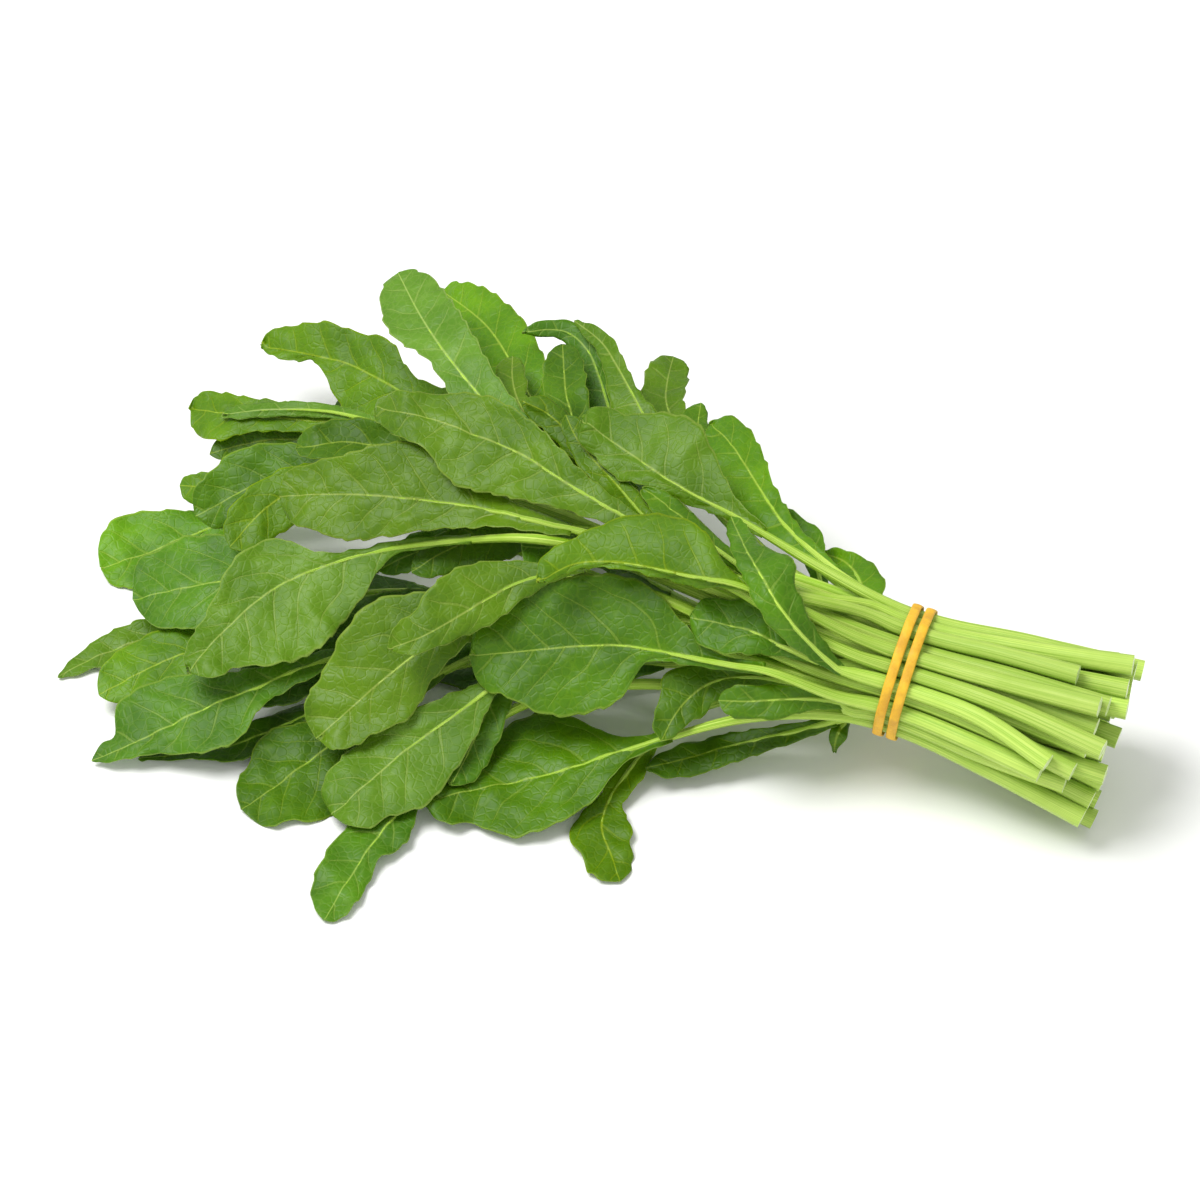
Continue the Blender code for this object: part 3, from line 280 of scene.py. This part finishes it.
def ringsOf(node):
    # rings of corners from the cut end to the tip, as the solid's edges join them
    shell = bmesh.new()
    shell.from_mesh(node.data)
    bmesh.ops.remove_doubles(shell, verts=shell.verts, dist=weld)
    end = max(shell.verts, key=lambda vert: vert.co.x)
    flat = max(end.link_faces, key=lambda face: face.normal.x)
    group = {flat}
    queue = [flat]
    while queue:
        for edge in queue.pop().edges:
            for face in edge.link_faces:
                if face not in group and face.normal.dot(flat.normal) > 0.97:
                    group.add(face)
                    queue.append(face)
    ring = {vert for face in group for vert in face.verts}
    rings = []
    seen = set()
    while ring:
        order = sorted(ring, key=lambda vert: vert.index)
        spots = {vert.index: np.array(vert.co) / mm for vert in order}
        links = {vert.index: [edge.other_vert(vert).index for edge in vert.link_edges
                              if edge.other_vert(vert) in ring] for vert in order}
        back = {vert.index: {edge.other_vert(vert).index for edge in vert.link_edges
                             if edge.other_vert(vert) in seen} for vert in order}
        rings.append((spots, links, back))
        seen |= ring
        ring = {edge.other_vert(vert) for vert in ring for edge in vert.link_edges} - seen
    shell.free()
    return rings


def cycleOf(spots, links):
    # the ring's corners in order, where each has just two neighbours in it
    if len(spots) != bladeCorners or any(len(nexts) != 2 for nexts in links.values()):
        return None
    first = min(spots)
    order = [first, min(links[first])]
    while len(order) < len(spots):
        a, b = links[order[-1]]
        order.append(b if a == order[-2] else a)
    return order


def turnsOf(cycle):
    # the ring's order from each corner, both ways round
    return [turned[shift:] + turned[:shift]
            for turned in (cycle, cycle[::-1]) for shift in range(len(cycle))]


def followRings(start, rings):
    # carry one ring's order on to the next rings, corner to corner along the solid's edges
    orders = [start]
    for spots, links, back in rings:
        cycle = cycleOf(spots, links)
        if cycle is None:
            break
        before = orders[-1]
        orders.append(max(turnsOf(cycle),
                          key=lambda order: sum(b in back[a] for a, b in zip(order, before))))
    return orders


def endLine(ring, before, front):
    # upper points of a ring whose corners are also joined across it
    points = np.array(list(ring[0].values()))
    spread = np.linalg.norm(points - points.mean(0), axis=1).max()
    scale = min(1.0, spread / max(0.3, np.linalg.norm(before - before[2], axis=1).max()))
    wanted = points.mean(0) + (before - before[2]) * scale
    if points[:, 2].min() < 0.3 or len(points) != bladeCorners:
        return wanted
    wanted = wanted + front * 0.33
    ends = min(((i, j) for i in range(bladeCorners) for j in range(bladeCorners) if i != j),
               key=lambda pair: ((points[list(pair)] - wanted[[0, 4]]) ** 2).sum())
    rest = [i for i in range(bladeCorners) if i not in ends]
    inner = []
    for place in (1, 2, 3):
        near = min(rest, key=lambda i: ((points[i] - wanted[place]) ** 2).sum())
        rest.remove(near)
        inner.append(points[near])
    return np.array([points[ends[0]], *inner, points[ends[1]]])


def readLeaf(node):
    # stalk centres and radii, then the blade's upper lines from its left edge to its right edge
    rings = ringsOf(node)
    centers = [np.array(list(ring[0].values())).mean(0) for ring in rings]
    ways = [unit(centers[min(i + 1, len(rings) - 1)] - centers[max(i - 1, 0)]) for i in range(len(rings))]
    fronts = [unit(toward - way * (way @ toward)) for way in ways]
    # the blade starts at the first ring that is clearly more than a stalk's
    neck = next(i for i, ring in enumerate(rings) if len(ring[0]) > 7)
    stalk = []
    for ring, center in zip(rings[:neck], centers):
        points = np.array(list(ring[0].values()))
        stalk.append((center, np.linalg.norm(points - center, axis=1).mean()))

    def score(orders):
        # the right order has the widest lines, runs left to right and has its upper side in front
        total = 0.0
        for k, order in enumerate(orders):
            points = np.array([rings[neck + k][0][index] for index in order])
            across = points[4] - points[0]
            total += np.linalg.norm(across)
            if k < 3:
                right = np.cross(ways[neck + k], fronts[neck + k])
                total += 0.1 * across @ right
                total += 0.5 * (points[:5].mean(0) - points[5:].mean(0)) @ fronts[neck + k]
        return total

    cycle = cycleOf(*rings[neck][:2])
    orders = max((followRings(start, rings[neck + 1:]) for start in turnsOf(cycle)), key=score)
    blade = [np.array([ring[0][index] for index in order[:5]]) for ring, order in zip(rings[neck:], orders)]
    for k in range(neck + len(orders), len(rings)):
        if len(rings[k][0]) > 2:
            blade.append(endLine(rings[k], blade[-1], fronts[k]))
    return stalk, np.array(blade)


def spline(values, knots, steps):
    # smooth curve through values at rising knots
    slopes = np.gradient(values, knots, axis=0)
    index = np.clip(np.searchsorted(knots, steps, side="right") - 1, 0, len(knots) - 2)
    span = (knots[index + 1] - knots[index]).reshape((-1,) + (1,) * (values.ndim - 1))
    t = ((steps - knots[index]) / (knots[index + 1] - knots[index])).reshape(span.shape)
    start = values[index] * (2 * t**3 - 3 * t**2 + 1) + slopes[index] * span * (t**3 - 2 * t**2 + t)
    end = values[index + 1] * (3 * t**2 - 2 * t**3) + slopes[index + 1] * span * (t**3 - t**2)
    return start + end


def ripples(count, step, length, seed):
    # smooth random wave along a line of count places, between -1 and 1
    return np.array([noise.noise(Vector((i * step / length, seed, 0.5))) for i in range(count)]) * 1.8


# where the solids' five upper points lie across a blade, from its left edge to its right edge
columnPlaces = np.array((-1.0, -0.42, 0.0, 0.42, 1.0))


def bladeGrid(blade, rng):
    # fine middle surface of a blade in mm, with the places its veins and margin are drawn by
    look = leafLook
    tip = blade[-1].mean(0)
    ahead = unit(blade[-1].mean(0) - blade[-2].mean(0))
    blade = np.concatenate((blade, (tip + ahead * 0.5 + (blade[-1] - tip) * 0.12)[None]))
    spine = blade[:, 2]
    knots = np.concatenate(((0.0,), np.cumsum(np.linalg.norm(np.diff(spine, axis=0), axis=1))))
    length = knots[-1]
    wide = np.linalg.norm(blade[:, 0] - blade[:, 4], axis=1)
    rows = int(np.clip(length / look["alongStep"], 20, 110))
    columns = int(np.clip(wide.max() / look["acrossStep"], 8, 40))
    columns += columns % 2
    rise = np.linspace(0.0, 1.0, rows)
    steps = length * (1.0 - (1.0 - rise) ** 1.35)
    lines = spline(blade, knots, steps)
    t = np.linspace(-1.0, 1.0, columns + 1)
    grid = spline(lines.transpose(1, 0, 2), columnPlaces, t).transpose(1, 0, 2)
    along = unit(np.gradient(grid, axis=0))
    over = unit(np.gradient(grid, axis=1))
    normal = unit(np.cross(along, over))
    normal = np.where((normal @ toward)[..., None] < 0, -normal, normal)
    half = 0.5 * spline(wide, knots, steps)
    out = t[None, :] * half[:, None]
    share = steps / length

    phase = np.zeros_like(out)
    shift = rng.uniform(0, 1)
    slack = np.array([[noise.noise(Vector((s * 0.08, o * 0.08, shift * 40))) for o in row]
                      for s, row in zip(steps, out)])
    for side in (-1, 1):
        where = (out * side) >= 0
        lean = look["veinSlant"] * np.abs(out) + look["veinBend"] * out**2
        apart = 0.5 if side > 0 else 0.0
        value = (steps[:, None] - lean) / look["veinSpacing"] + apart + shift + 0.3 * slack
        phase[where] = value[where]
    fract = phase - np.floor(phase)
    away = (0.5 - np.abs(fract - 0.5)) * look["veinSpacing"]
    edge = np.abs(t)[None, :] * np.ones_like(out)
    fade = np.clip(half / 6.0, 0.25, 1.0)[:, None]

    relief = -look["veinDip"] * np.exp(-(away / 0.8) ** 2) * (1 - edge**4)
    pillow = 0.5 - 0.5 * np.cos(2 * math.pi * fract)
    crumple = np.array([[noise.noise(Vector((s * 0.19, o * 0.19, shift * 90 + 5))) for o in row]
                        for s, row in zip(steps, out)])
    relief += look["pucker"] * crumple + 0.22 * pillow * (1 - edge**3)
    relief -= 0.35 * np.exp(-(out / 1.4) ** 2)
    waveLeft = ripples(rows, length / rows, 7.0, shift * 10 + 1)
    waveRight = ripples(rows, length / rows, 7.0, shift * 10 + 3)
    wave = np.where(t[None, :] < 0, waveLeft[:, None], waveRight[:, None])
    relief += look["ripple"] * wave * edge**3
    grid = grid + normal * (relief * fade)[..., None]

    # small rounded teeth along the margin, pointing at the tip
    teethLeft = ripples(rows, length / rows, look["scallopLength"] * 2.0, shift * 10 + 7)
    saw = (steps / look["scallopLength"] + 0.35 * teethLeft + shift) % 1.0
    tooth = np.where(saw < 0.78, saw / 0.78, (1 - saw) / 0.22) - 0.5
    reach = look["scallop"] * tooth * np.clip(half / 5.0, 0.0, 1.0) * np.clip(12.0 * (1 - share), 0.0, 1.0)
    side = over * np.sign(t)[None, :, None]
    grid = grid + side * (reach[:, None] * np.clip((edge - 0.8) / 0.2, 0, 1))[..., None]
    thick = look["margin"] + (look["blade"] - look["margin"]) * np.clip((1 - edge) * 4, 0, 1)
    return grid, normal, thick, phase, out, share, edge, steps, half


def keepNear(grid, node, reach):
    # blade corners further than reach from the solid are drawn back to it
    tree = BVHTree.FromPolygons([vert.co for vert in node.data.vertices],
                                [face.vertices for face in node.data.polygons])
    flat = grid.reshape(-1, 3)
    for i, point in enumerate(flat):
        near, _, _, gap = tree.find_nearest(Vector(point * mm))
        if gap / mm > reach:
            near = np.array(near) / mm
            flat[i] = near + (point - near) * (reach / (gap / mm))
    return flat.reshape(grid.shape)


def veinPaths(grid, steps, half, t, phaseShift):
    # centre lines of the side veins on the blade, each as points and radii
    look = leafLook
    paths = []
    length = steps[-1]
    for side in (-1, 1):
        offset = (0.5 if side > 0 else 0.0) + phaseShift
        for number in range(1, int(length / look["veinSpacing"]) + 2):
            root = (number - offset) * look["veinSpacing"]
            points = []
            radii = []
            for step in np.linspace(0.0, 1.0, 12):
                s = root
                for _ in range(3):
                    wide = np.interp(s, steps, half)
                    out = step * look["veinReach"] * wide
                    s = root + look["veinSlant"] * out + look["veinBend"] * out**2
                if s < 1.0 or s > length * 0.97:
                    break
                row = np.interp(s, steps, np.arange(len(steps)))
                column = np.interp(side * step * look["veinReach"], t, np.arange(len(t)))
                r0, c0 = int(row), int(column)
                r1, c1 = min(r0 + 1, len(steps) - 1), min(c0 + 1, len(t) - 1)
                fr, fc = row - r0, column - c0
                spot = (grid[r0, c0] * (1 - fr) * (1 - fc) + grid[r1, c0] * fr * (1 - fc)
                        + grid[r0, c1] * (1 - fr) * fc + grid[r1, c1] * fr * fc)
                points.append(spot)
                radii.append(look["veinRadius"] - look["veinTaper"] * step)
            if len(points) >= 5 and np.interp(root, steps, half) > 3.0:
                paths.append((np.array(points), np.array(radii)))
    return paths


def addPath(verts, edges, thickness, points, radii):
    start = len(verts)
    points = np.array(points)
    points[:, 2] = np.maximum(points[:, 2], radii * 1.1)
    verts += [tuple(point * mm) for point in points]
    thickness += list(radii * mm)
    edges += [(start + i, start + i + 1) for i in range(len(points) - 1)]


def makeLeaf(name, node, number):
    look = leafLook
    rng = random.Random(look["seed"] * 1000 + number)
    stalk, blade = readLeaf(node)
    grid, normal, thick, phase, out, share, edge, steps, half = bladeGrid(blade, rng)
    grid = keepNear(grid, node, look["reach"])
    rows, columns = grid.shape[:2]
    t = np.linspace(-1.0, 1.0, columns)
    middle = grid - normal * (0.5 * solidBlade)
    upper = middle + normal * (0.5 * thick)[..., None]
    lower = middle - normal * (0.5 * thick)[..., None]

    # nothing sinks into the surface that the bunch lies on
    lift = 0.04
    lower[..., 2] = np.maximum(lower[..., 2], lift)
    upper[..., 2] = np.maximum(upper[..., 2], lift + 0.8 * thick)

    # blade: upper and lower sheet, joined all round
    sheets = np.concatenate((upper.reshape(-1, 3), lower.reshape(-1, 3))) * mm
    verts = [tuple(point) for point in sheets]
    sheet = rows * columns
    faces = []
    kinds = []
    for r in range(rows - 1):
        for c in range(columns - 1):
            a, b = r * columns + c, r * columns + c + 1
            d, e = a + columns, b + columns
            faces.append((a, d, e, b))
            kinds.append(0)
            faces.append((sheet + a, sheet + b, sheet + e, sheet + d))
            kinds.append(1)
    for r in range(rows - 1):
        a, d = r * columns, (r + 1) * columns
        faces.append((a, sheet + a, sheet + d, d))
        b, e = a + columns - 1, d + columns - 1
        faces.append((b, e, sheet + e, sheet + b))
        kinds += [0, 0]
    for c in range(columns - 1):
        faces.append((c, c + 1, sheet + c + 1, sheet + c))
        last = (rows - 1) * columns
        faces.append((last + c, sheet + last + c, sheet + last + c + 1, last + c + 1))
        kinds += [0, 0]
    facing = np.cross(upper[1, 0] - upper[0, 0], upper[0, 1] - upper[0, 0]) @ normal[0, 0]
    if facing < 0:
        faces = [tuple(reversed(face)) for face in faces]

    # stalk and midrib, one path from the cut end to the tip; then the side veins
    thickness = [0.0] * len(verts)
    edges = []
    radius = stalk[-1][1]
    spineRows = list(range(2, rows - 2, 2))
    ribRadii = 0.1 + (min(radius, 1.0) - 0.1) * (1 - share[spineRows]) ** 1.4
    spine = middle[spineRows, columns // 2] - normal[spineRows, columns // 2] * (0.45 * ribRadii)[:, None]
    line = np.array([center for center, _ in stalk])
    radii = np.array([r for _, r in stalk])
    line = np.concatenate((line, spine))
    radii = np.concatenate((radii, ribRadii))
    knots = np.concatenate(((0.0,), np.cumsum(np.linalg.norm(np.diff(line, axis=0), axis=1))))
    count = int(knots[-1] / stemLook["step"])
    places = np.linspace(0.0, knots[-1], count)
    addPath(verts, edges, thickness, spline(line, knots, places), np.interp(places, knots, radii))
    stalkPoints = len(verts)
    veins = veinPaths(middle, steps, half, t, veinShift(phase, steps, out))
    for points, sizes in veins:
        addPath(verts, edges, thickness, points, sizes)

    mesh = bpy.data.meshes.new(name + "_rough")
    mesh.from_pydata(verts, edges, faces)
    thicknessData = mesh.attributes.new("pathRadius", "FLOAT", "POINT")
    thicknessData.data.foreach_set("value", np.array(thickness, dtype=np.float32))
    pathData = mesh.attributes.new("pathKind", "FLOAT", "POINT")
    pathKinds = np.zeros(len(verts), dtype=np.float32)
    pathKinds[2 * sheet:] = 1.0
    pathKinds[stalkPoints:] = 2.0
    pathData.data.foreach_set("value", pathKinds)
    tint = mesh.attributes.new("leafTint", "FLOAT", "POINT")
    tint.data.foreach_set("value", np.full(len(verts), rng.uniform(0.0, 1.0), dtype=np.float32))

    veinLayer = mesh.uv_layers.new(name="veinPlace")
    placeLayer = mesh.uv_layers.new(name="leafPlace")
    phases = np.concatenate((phase.reshape(-1), phase.reshape(-1)))
    outs = np.concatenate((out.reshape(-1), out.reshape(-1)))
    shares = np.repeat(share, columns)
    shares = np.concatenate((shares, shares))
    edgewards = np.concatenate((edge.reshape(-1), edge.reshape(-1)))
    corner = np.zeros(len(mesh.loops), dtype=np.int32)
    mesh.loops.foreach_get("vertex_index", corner)
    # the left side's veins start half a space away, so its corners on the midrib keep its own count
    left = np.repeat([np.mean(outs[list(face)]) < 0 for face in faces], [len(face) for face in faces])
    onRib = np.abs(outs[corner]) < 1e-6
    values = phases[corner] - np.where(left & onRib, 0.5, 0.0)
    veinLayer.data.foreach_set("uv", np.stack((values, outs[corner]), axis=1).astype(np.float32).ravel())
    growth = np.stack((shares[corner], edgewards[corner]), axis=1).astype(np.float32)
    placeLayer.data.foreach_set("uv", growth.ravel())
    mesh.polygons.foreach_set("material_index", np.array(kinds, dtype=np.int32))
    mesh.polygons.foreach_set("use_smooth", np.ones(len(faces), dtype=bool))
    return mesh


def veinShift(phase, steps, out):
    # part of a vein's spacing by which this leaf's count is moved
    return (phase[0, 0] - (steps[0] - leafLook["veinSlant"] * abs(out[0, 0])
                           - leafLook["veinBend"] * out[0, 0] ** 2) / leafLook["veinSpacing"]) % 1.0


# Stalks and veins: tubes along the paths, ribbed round the stalk. What a user may change in them:
stemLook = {"corners": 18, "ribs": 6, "ribDepth": 0.075, "step": 2.4, "veinCorners": 6,
            "dark": "6DA012", "light": "CFE47A"}


def makeStalkTree(stalkMaterial, fleshMaterial):
    tree = bpy.data.node_groups.new("stalksAndVeins", "GeometryNodeTree")
    face = tree.interface
    face.new_socket("Geometry", in_out="INPUT", socket_type="NodeSocketGeometry")
    for label, kind, value in (("Stalk Corners", "NodeSocketInt", stemLook["corners"]),
                               ("Ribs", "NodeSocketInt", stemLook["ribs"]),
                               ("Rib Depth", "NodeSocketFloat", stemLook["ribDepth"]),
                               ("Vein Corners", "NodeSocketInt", stemLook["veinCorners"])):
        face.new_socket(label, in_out="INPUT", socket_type=kind).default_value = value
    face.new_socket("Vein Material", in_out="INPUT", socket_type="NodeSocketMaterial")
    face.new_socket("Geometry", in_out="OUTPUT", socket_type="NodeSocketGeometry")
    start = addNode(tree, "NodeGroupInput").outputs
    finish = addNode(tree, "NodeGroupOutput")
    kind, radius = (addNode(tree, "GeometryNodeInputNamedAttribute", {"data_type": "FLOAT"}, {"Name": name})
                    for name in ("pathKind", "pathRadius"))

    def pathsOf(low, high):
        picked = addNode(tree, "FunctionNodeCompare", {"data_type": "FLOAT", "operation": "GREATER_THAN"},
                         {0: kind.outputs[0], 1: low})
        below = addNode(tree, "FunctionNodeCompare", {"data_type": "FLOAT", "operation": "LESS_THAN"},
                        {0: kind.outputs[0], 1: high})
        both = addNode(tree, "FunctionNodeBooleanMath", {"operation": "AND"},
                       {0: picked.outputs[0], 1: below.outputs[0]})
        curve = addNode(tree, "GeometryNodeMeshToCurve", None,
                        {"Mesh": start["Geometry"], "Selection": both.outputs[0]})
        return curve.outputs[0]

    def named(geometry, name, value):
        return addNode(tree, "GeometryNodeStoreNamedAttribute", {"data_type": "FLOAT", "domain": "POINT"},
                       {"Geometry": geometry, "Name": name, "Value": value}).outputs[0]

    def tube(curve, profile, caps):
        return addNode(tree, "GeometryNodeCurveToMesh", None,
                       {"Curve": curve, "Profile Curve": profile, "Scale": radius.outputs[0],
                        "Fill Caps": caps})

    # ribbed ring: its radius goes up and down Ribs times on the way round
    ring = addNode(tree, "GeometryNodeCurvePrimitiveCircle", None,
                   {"Resolution": start["Stalk Corners"], "Radius": 1.0})
    spot = addNode(tree, "GeometryNodeInputPosition").outputs[0]
    x, y, _ = addNode(tree, "ShaderNodeSeparateXYZ", None, {0: spot}).outputs
    angle = addNode(tree, "ShaderNodeMath", {"operation": "ARCTAN2"}, {0: y, 1: x}).outputs[0]
    turns = math1(tree, "MULTIPLY", angle, start["Ribs"])
    up = math1(tree, "COSINE", turns)
    size = addNode(tree, "ShaderNodeMath", {"operation": "MULTIPLY_ADD"},
                   {0: up, 1: start["Rib Depth"], 2: 1.0}).outputs[0]
    grown = addNode(tree, "ShaderNodeVectorMath", {"operation": "SCALE"},
                    {0: spot, "Scale": size}).outputs[0]
    ring = addNode(tree, "GeometryNodeSetPosition", None, {"Geometry": ring.outputs[0], "Position": grown})
    around = addNode(tree, "ShaderNodeMath", {"operation": "ABSOLUTE"}, {0: angle}).outputs[0]
    ring = named(ring.outputs[0], "stalkAround", around)

    stalks = pathsOf(0.5, 1.5)
    walked = addNode(tree, "GeometryNodeSplineParameter").outputs["Length"]
    stalks = named(stalks, "stalkAlong", walked)
    stalks = tube(stalks, ring, True).outputs[0]
    stalks = addNode(tree, "GeometryNodeSetShadeSmooth", None, {"Geometry": stalks}).outputs[0]
    stalks = addNode(tree, "GeometryNodeSetMaterial", None,
                     {"Geometry": stalks, "Material": stalkMaterial}).outputs[0]
    corners = addNode(tree, "GeometryNodeInputMeshFaceNeighbors").outputs["Vertex Count"]
    cap = addNode(tree, "FunctionNodeCompare", {"data_type": "INT", "operation": "GREATER_THAN"},
                  {2: corners, 3: 4}).outputs[0]
    stalks = addNode(tree, "GeometryNodeSetMaterial", None,
                     {"Geometry": stalks, "Selection": cap, "Material": fleshMaterial}).outputs[0]
    stalks = addNode(tree, "GeometryNodeSetShadeSmooth", None,
                     {"Geometry": stalks, "Selection": cap, "Shade Smooth": False}).outputs[0]

    veinRing = addNode(tree, "GeometryNodeCurvePrimitiveCircle", None,
                       {"Resolution": start["Vein Corners"], "Radius": 1.0})
    veins = tube(pathsOf(1.5, 2.5), veinRing.outputs[0], True).outputs[0]
    veins = addNode(tree, "GeometryNodeSetShadeSmooth", None, {"Geometry": veins}).outputs[0]
    veins = addNode(tree, "GeometryNodeSetMaterial", None,
                    {"Geometry": veins, "Material": start["Vein Material"]}).outputs[0]
    # their place in the leaf's pattern: on a side vein and off the midrib
    onVein = addNode(tree, "ShaderNodeCombineXYZ", None, {0: 0.0, 1: 5.0})
    veins = addNode(tree, "GeometryNodeStoreNamedAttribute", {"data_type": "FLOAT2", "domain": "CORNER"},
                    {"Geometry": veins, "Name": "veinPlace", "Value": onVein.outputs[0]}).outputs[0]

    isPath = addNode(tree, "FunctionNodeCompare", {"data_type": "FLOAT", "operation": "GREATER_THAN"},
                     {0: kind.outputs[0], 1: 0.5})
    bladeOnly = addNode(tree, "GeometryNodeDeleteGeometry", {"domain": "POINT"},
                        {"Geometry": start["Geometry"], "Selection": isPath.outputs[0]})
    joined = addNode(tree, "GeometryNodeJoinGeometry")
    for part in (veins, stalks, bladeOnly.outputs[0]):
        tree.links.new(part, joined.inputs[0])
    real = addNode(tree, "GeometryNodeRealizeInstances", None, {"Geometry": joined.outputs[0]})
    tree.links.new(real.outputs[0], finish.inputs[0])
    return tree


def finishLeaf(name, node, mesh, tree, materials):
    rough = bpy.data.objects.new(name + "_rough", mesh)
    bpy.context.scene.collection.objects.link(rough)
    for material in materials:
        mesh.materials.append(material)
    modifier = rough.modifiers.new("stalksAndVeins", "NODES")
    modifier.node_group = tree
    sockets = {item.name: item.identifier for item in tree.interface.items_tree if item.in_out == "INPUT"}
    modifier[sockets["Vein Material"]] = materials[0]
    modifier[sockets["Stalk Corners"]] = stemLook["corners"]
    modifier[sockets["Ribs"]] = stemLook["ribs"]
    modifier[sockets["Rib Depth"]] = stemLook["ribDepth"]
    modifier[sockets["Vein Corners"]] = stemLook["veinCorners"]
    bpy.context.view_layer.update()
    done = bpy.data.meshes.new_from_object(rough.evaluated_get(bpy.context.evaluated_depsgraph_get()))
    done.name = name + "_leaf"
    piece = bpy.data.objects.new(name + "_leaf", done)
    bpy.context.scene.collection.objects.link(piece)
    bpy.data.objects.remove(rough)
    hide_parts(name)
    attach(piece, "root")
    return piece


# What a user may change in the rubber band: how square its corners stay, how finely it is rounded,
# and its two colours
bandLook = {"crease": 0.2, "levels": 2, "dark": "CC9208", "light": "F0BA1C"}


def makeBand(node, material):
    shell = bmesh.new()
    shell.from_mesh(node.data)
    bmesh.ops.remove_doubles(shell, verts=shell.verts, dist=weld)
    bmesh.ops.join_triangles(shell, faces=shell.faces, angle_face_threshold=math.radians(20),
                             angle_shape_threshold=math.radians(60))
    mesh = bpy.data.meshes.new("rubber_band_strands")
    shell.edges.index_update()
    sharp = [len(edge.link_faces) == 2 and edge.calc_face_angle() > math.radians(50)
             for edge in shell.edges]
    shell.to_mesh(mesh)
    shell.free()
    piece = bpy.data.objects.new("rubber_band_strands", mesh)
    bpy.context.scene.collection.objects.link(piece)
    crease = mesh.attributes.new("crease_edge", "FLOAT", "EDGE")
    crease.data.foreach_set("value", np.array(sharp, dtype=np.float32) * bandLook["crease"])
    smooth = piece.modifiers.new("roundedCorners", "SUBSURF")
    smooth.levels = bandLook["levels"]
    smooth.render_levels = bandLook["levels"]
    bpy.context.view_layer.update()
    rounded = bpy.data.meshes.new_from_object(piece.evaluated_get(bpy.context.evaluated_depsgraph_get()))
    piece.modifiers.clear()
    piece.data = rounded
    mesh = rounded
    mesh.materials.append(material)
    mesh.polygons.foreach_set("use_smooth", np.ones(len(mesh.polygons), dtype=bool))
    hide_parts("rubber_band")
    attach(piece, "root")


def main():
    stalkMaterial = makeStalkMaterial()
    fleshMaterial = makeFleshMaterial()
    tree = makeStalkTree(stalkMaterial, fleshMaterial)
    materials = {slot: (makeLeafMaterial(slot, tone, False), makeLeafMaterial(slot, tone, True))
                 for slot, tone in leafTones.items()}
    slots = {part["node"]: part["material_slot"] for part in frame["record"]["subparts"]}
    total = 0
    for number, name in enumerate(sorted(frame["nodes"])):
        node = frame["nodes"][name]
        if name == "rubber_band":
            makeBand(node, makeRubberMaterial())
            continue
        mesh = makeLeaf(name, node, number)
        piece = finishLeaf(name, node, mesh, tree, materials[slots[name]])
        total += sum(len(face.vertices) - 2 for face in piece.data.polygons)
    print("leaves and rubber band made, leaf triangles", total)
    makeStage()
    print("floor, light and camera made")


def makeStage():
    floorMesh = bpy.data.meshes.new("paleFloor")
    size = 3.0
    corners = [(-size, -size, 0), (size, -size, 0), (size, size, 0), (-size, size, 0)]
    floorMesh.from_pydata(corners, [], [(0, 1, 2, 3)])
    floor = bpy.data.objects.new("paleFloor", floorMesh)
    bpy.context.scene.collection.objects.link(floor)
    material, tree, output = newMaterial("palePaperFloor")
    shader = addNode(tree, "ShaderNodeBsdfPrincipled", None,
                     {"Base Color": linear("F7F7F6"), "Roughness": 0.9, "Specular IOR Level": 0.2})
    tree.links.new(shader.outputs[0], output.inputs["Surface"])
    floorMesh.materials.append(material)

    world = bpy.data.worlds.new("softStudio")
    world.use_nodes = True
    world.node_tree.nodes["Background"].inputs["Color"].default_value = (1.0, 1.0, 1.0, 1.0)
    world.node_tree.nodes["Background"].inputs["Strength"].default_value = 0.62
    bpy.context.scene.world = world
    bpy.context.scene.view_settings.view_transform = "Standard"

    for name, energy, size, spot in (("keyLight", 14.0, 0.7, (-0.45, -0.25, 1.15)),
                                     ("fillLight", 2.0, 1.2, (0.9, -0.9, 0.8))):
        data = bpy.data.lights.new(name, "AREA")
        data.energy = energy
        data.shape = "DISK"
        data.size = size
        light = bpy.data.objects.new(name, data)
        light.location = spot
        light.rotation_euler = (-Vector(spot)).to_track_quat("-Z", "Y").to_euler()
        bpy.context.scene.collection.objects.link(light)

    data = bpy.data.cameras.new("photoCamera")
    data.lens = view["lens"]
    data.sensor_width = view["sensor"]
    data.clip_end = 20.0
    camera = bpy.data.objects.new("photoCamera", data)
    back = Vector(toward)
    camera.location = Vector(view["target"]) + back * view["distance"]
    camera.rotation_euler = back.to_track_quat("Z", "Y").to_euler()
    bpy.context.scene.collection.objects.link(camera)
    bpy.context.scene.camera = camera


main()
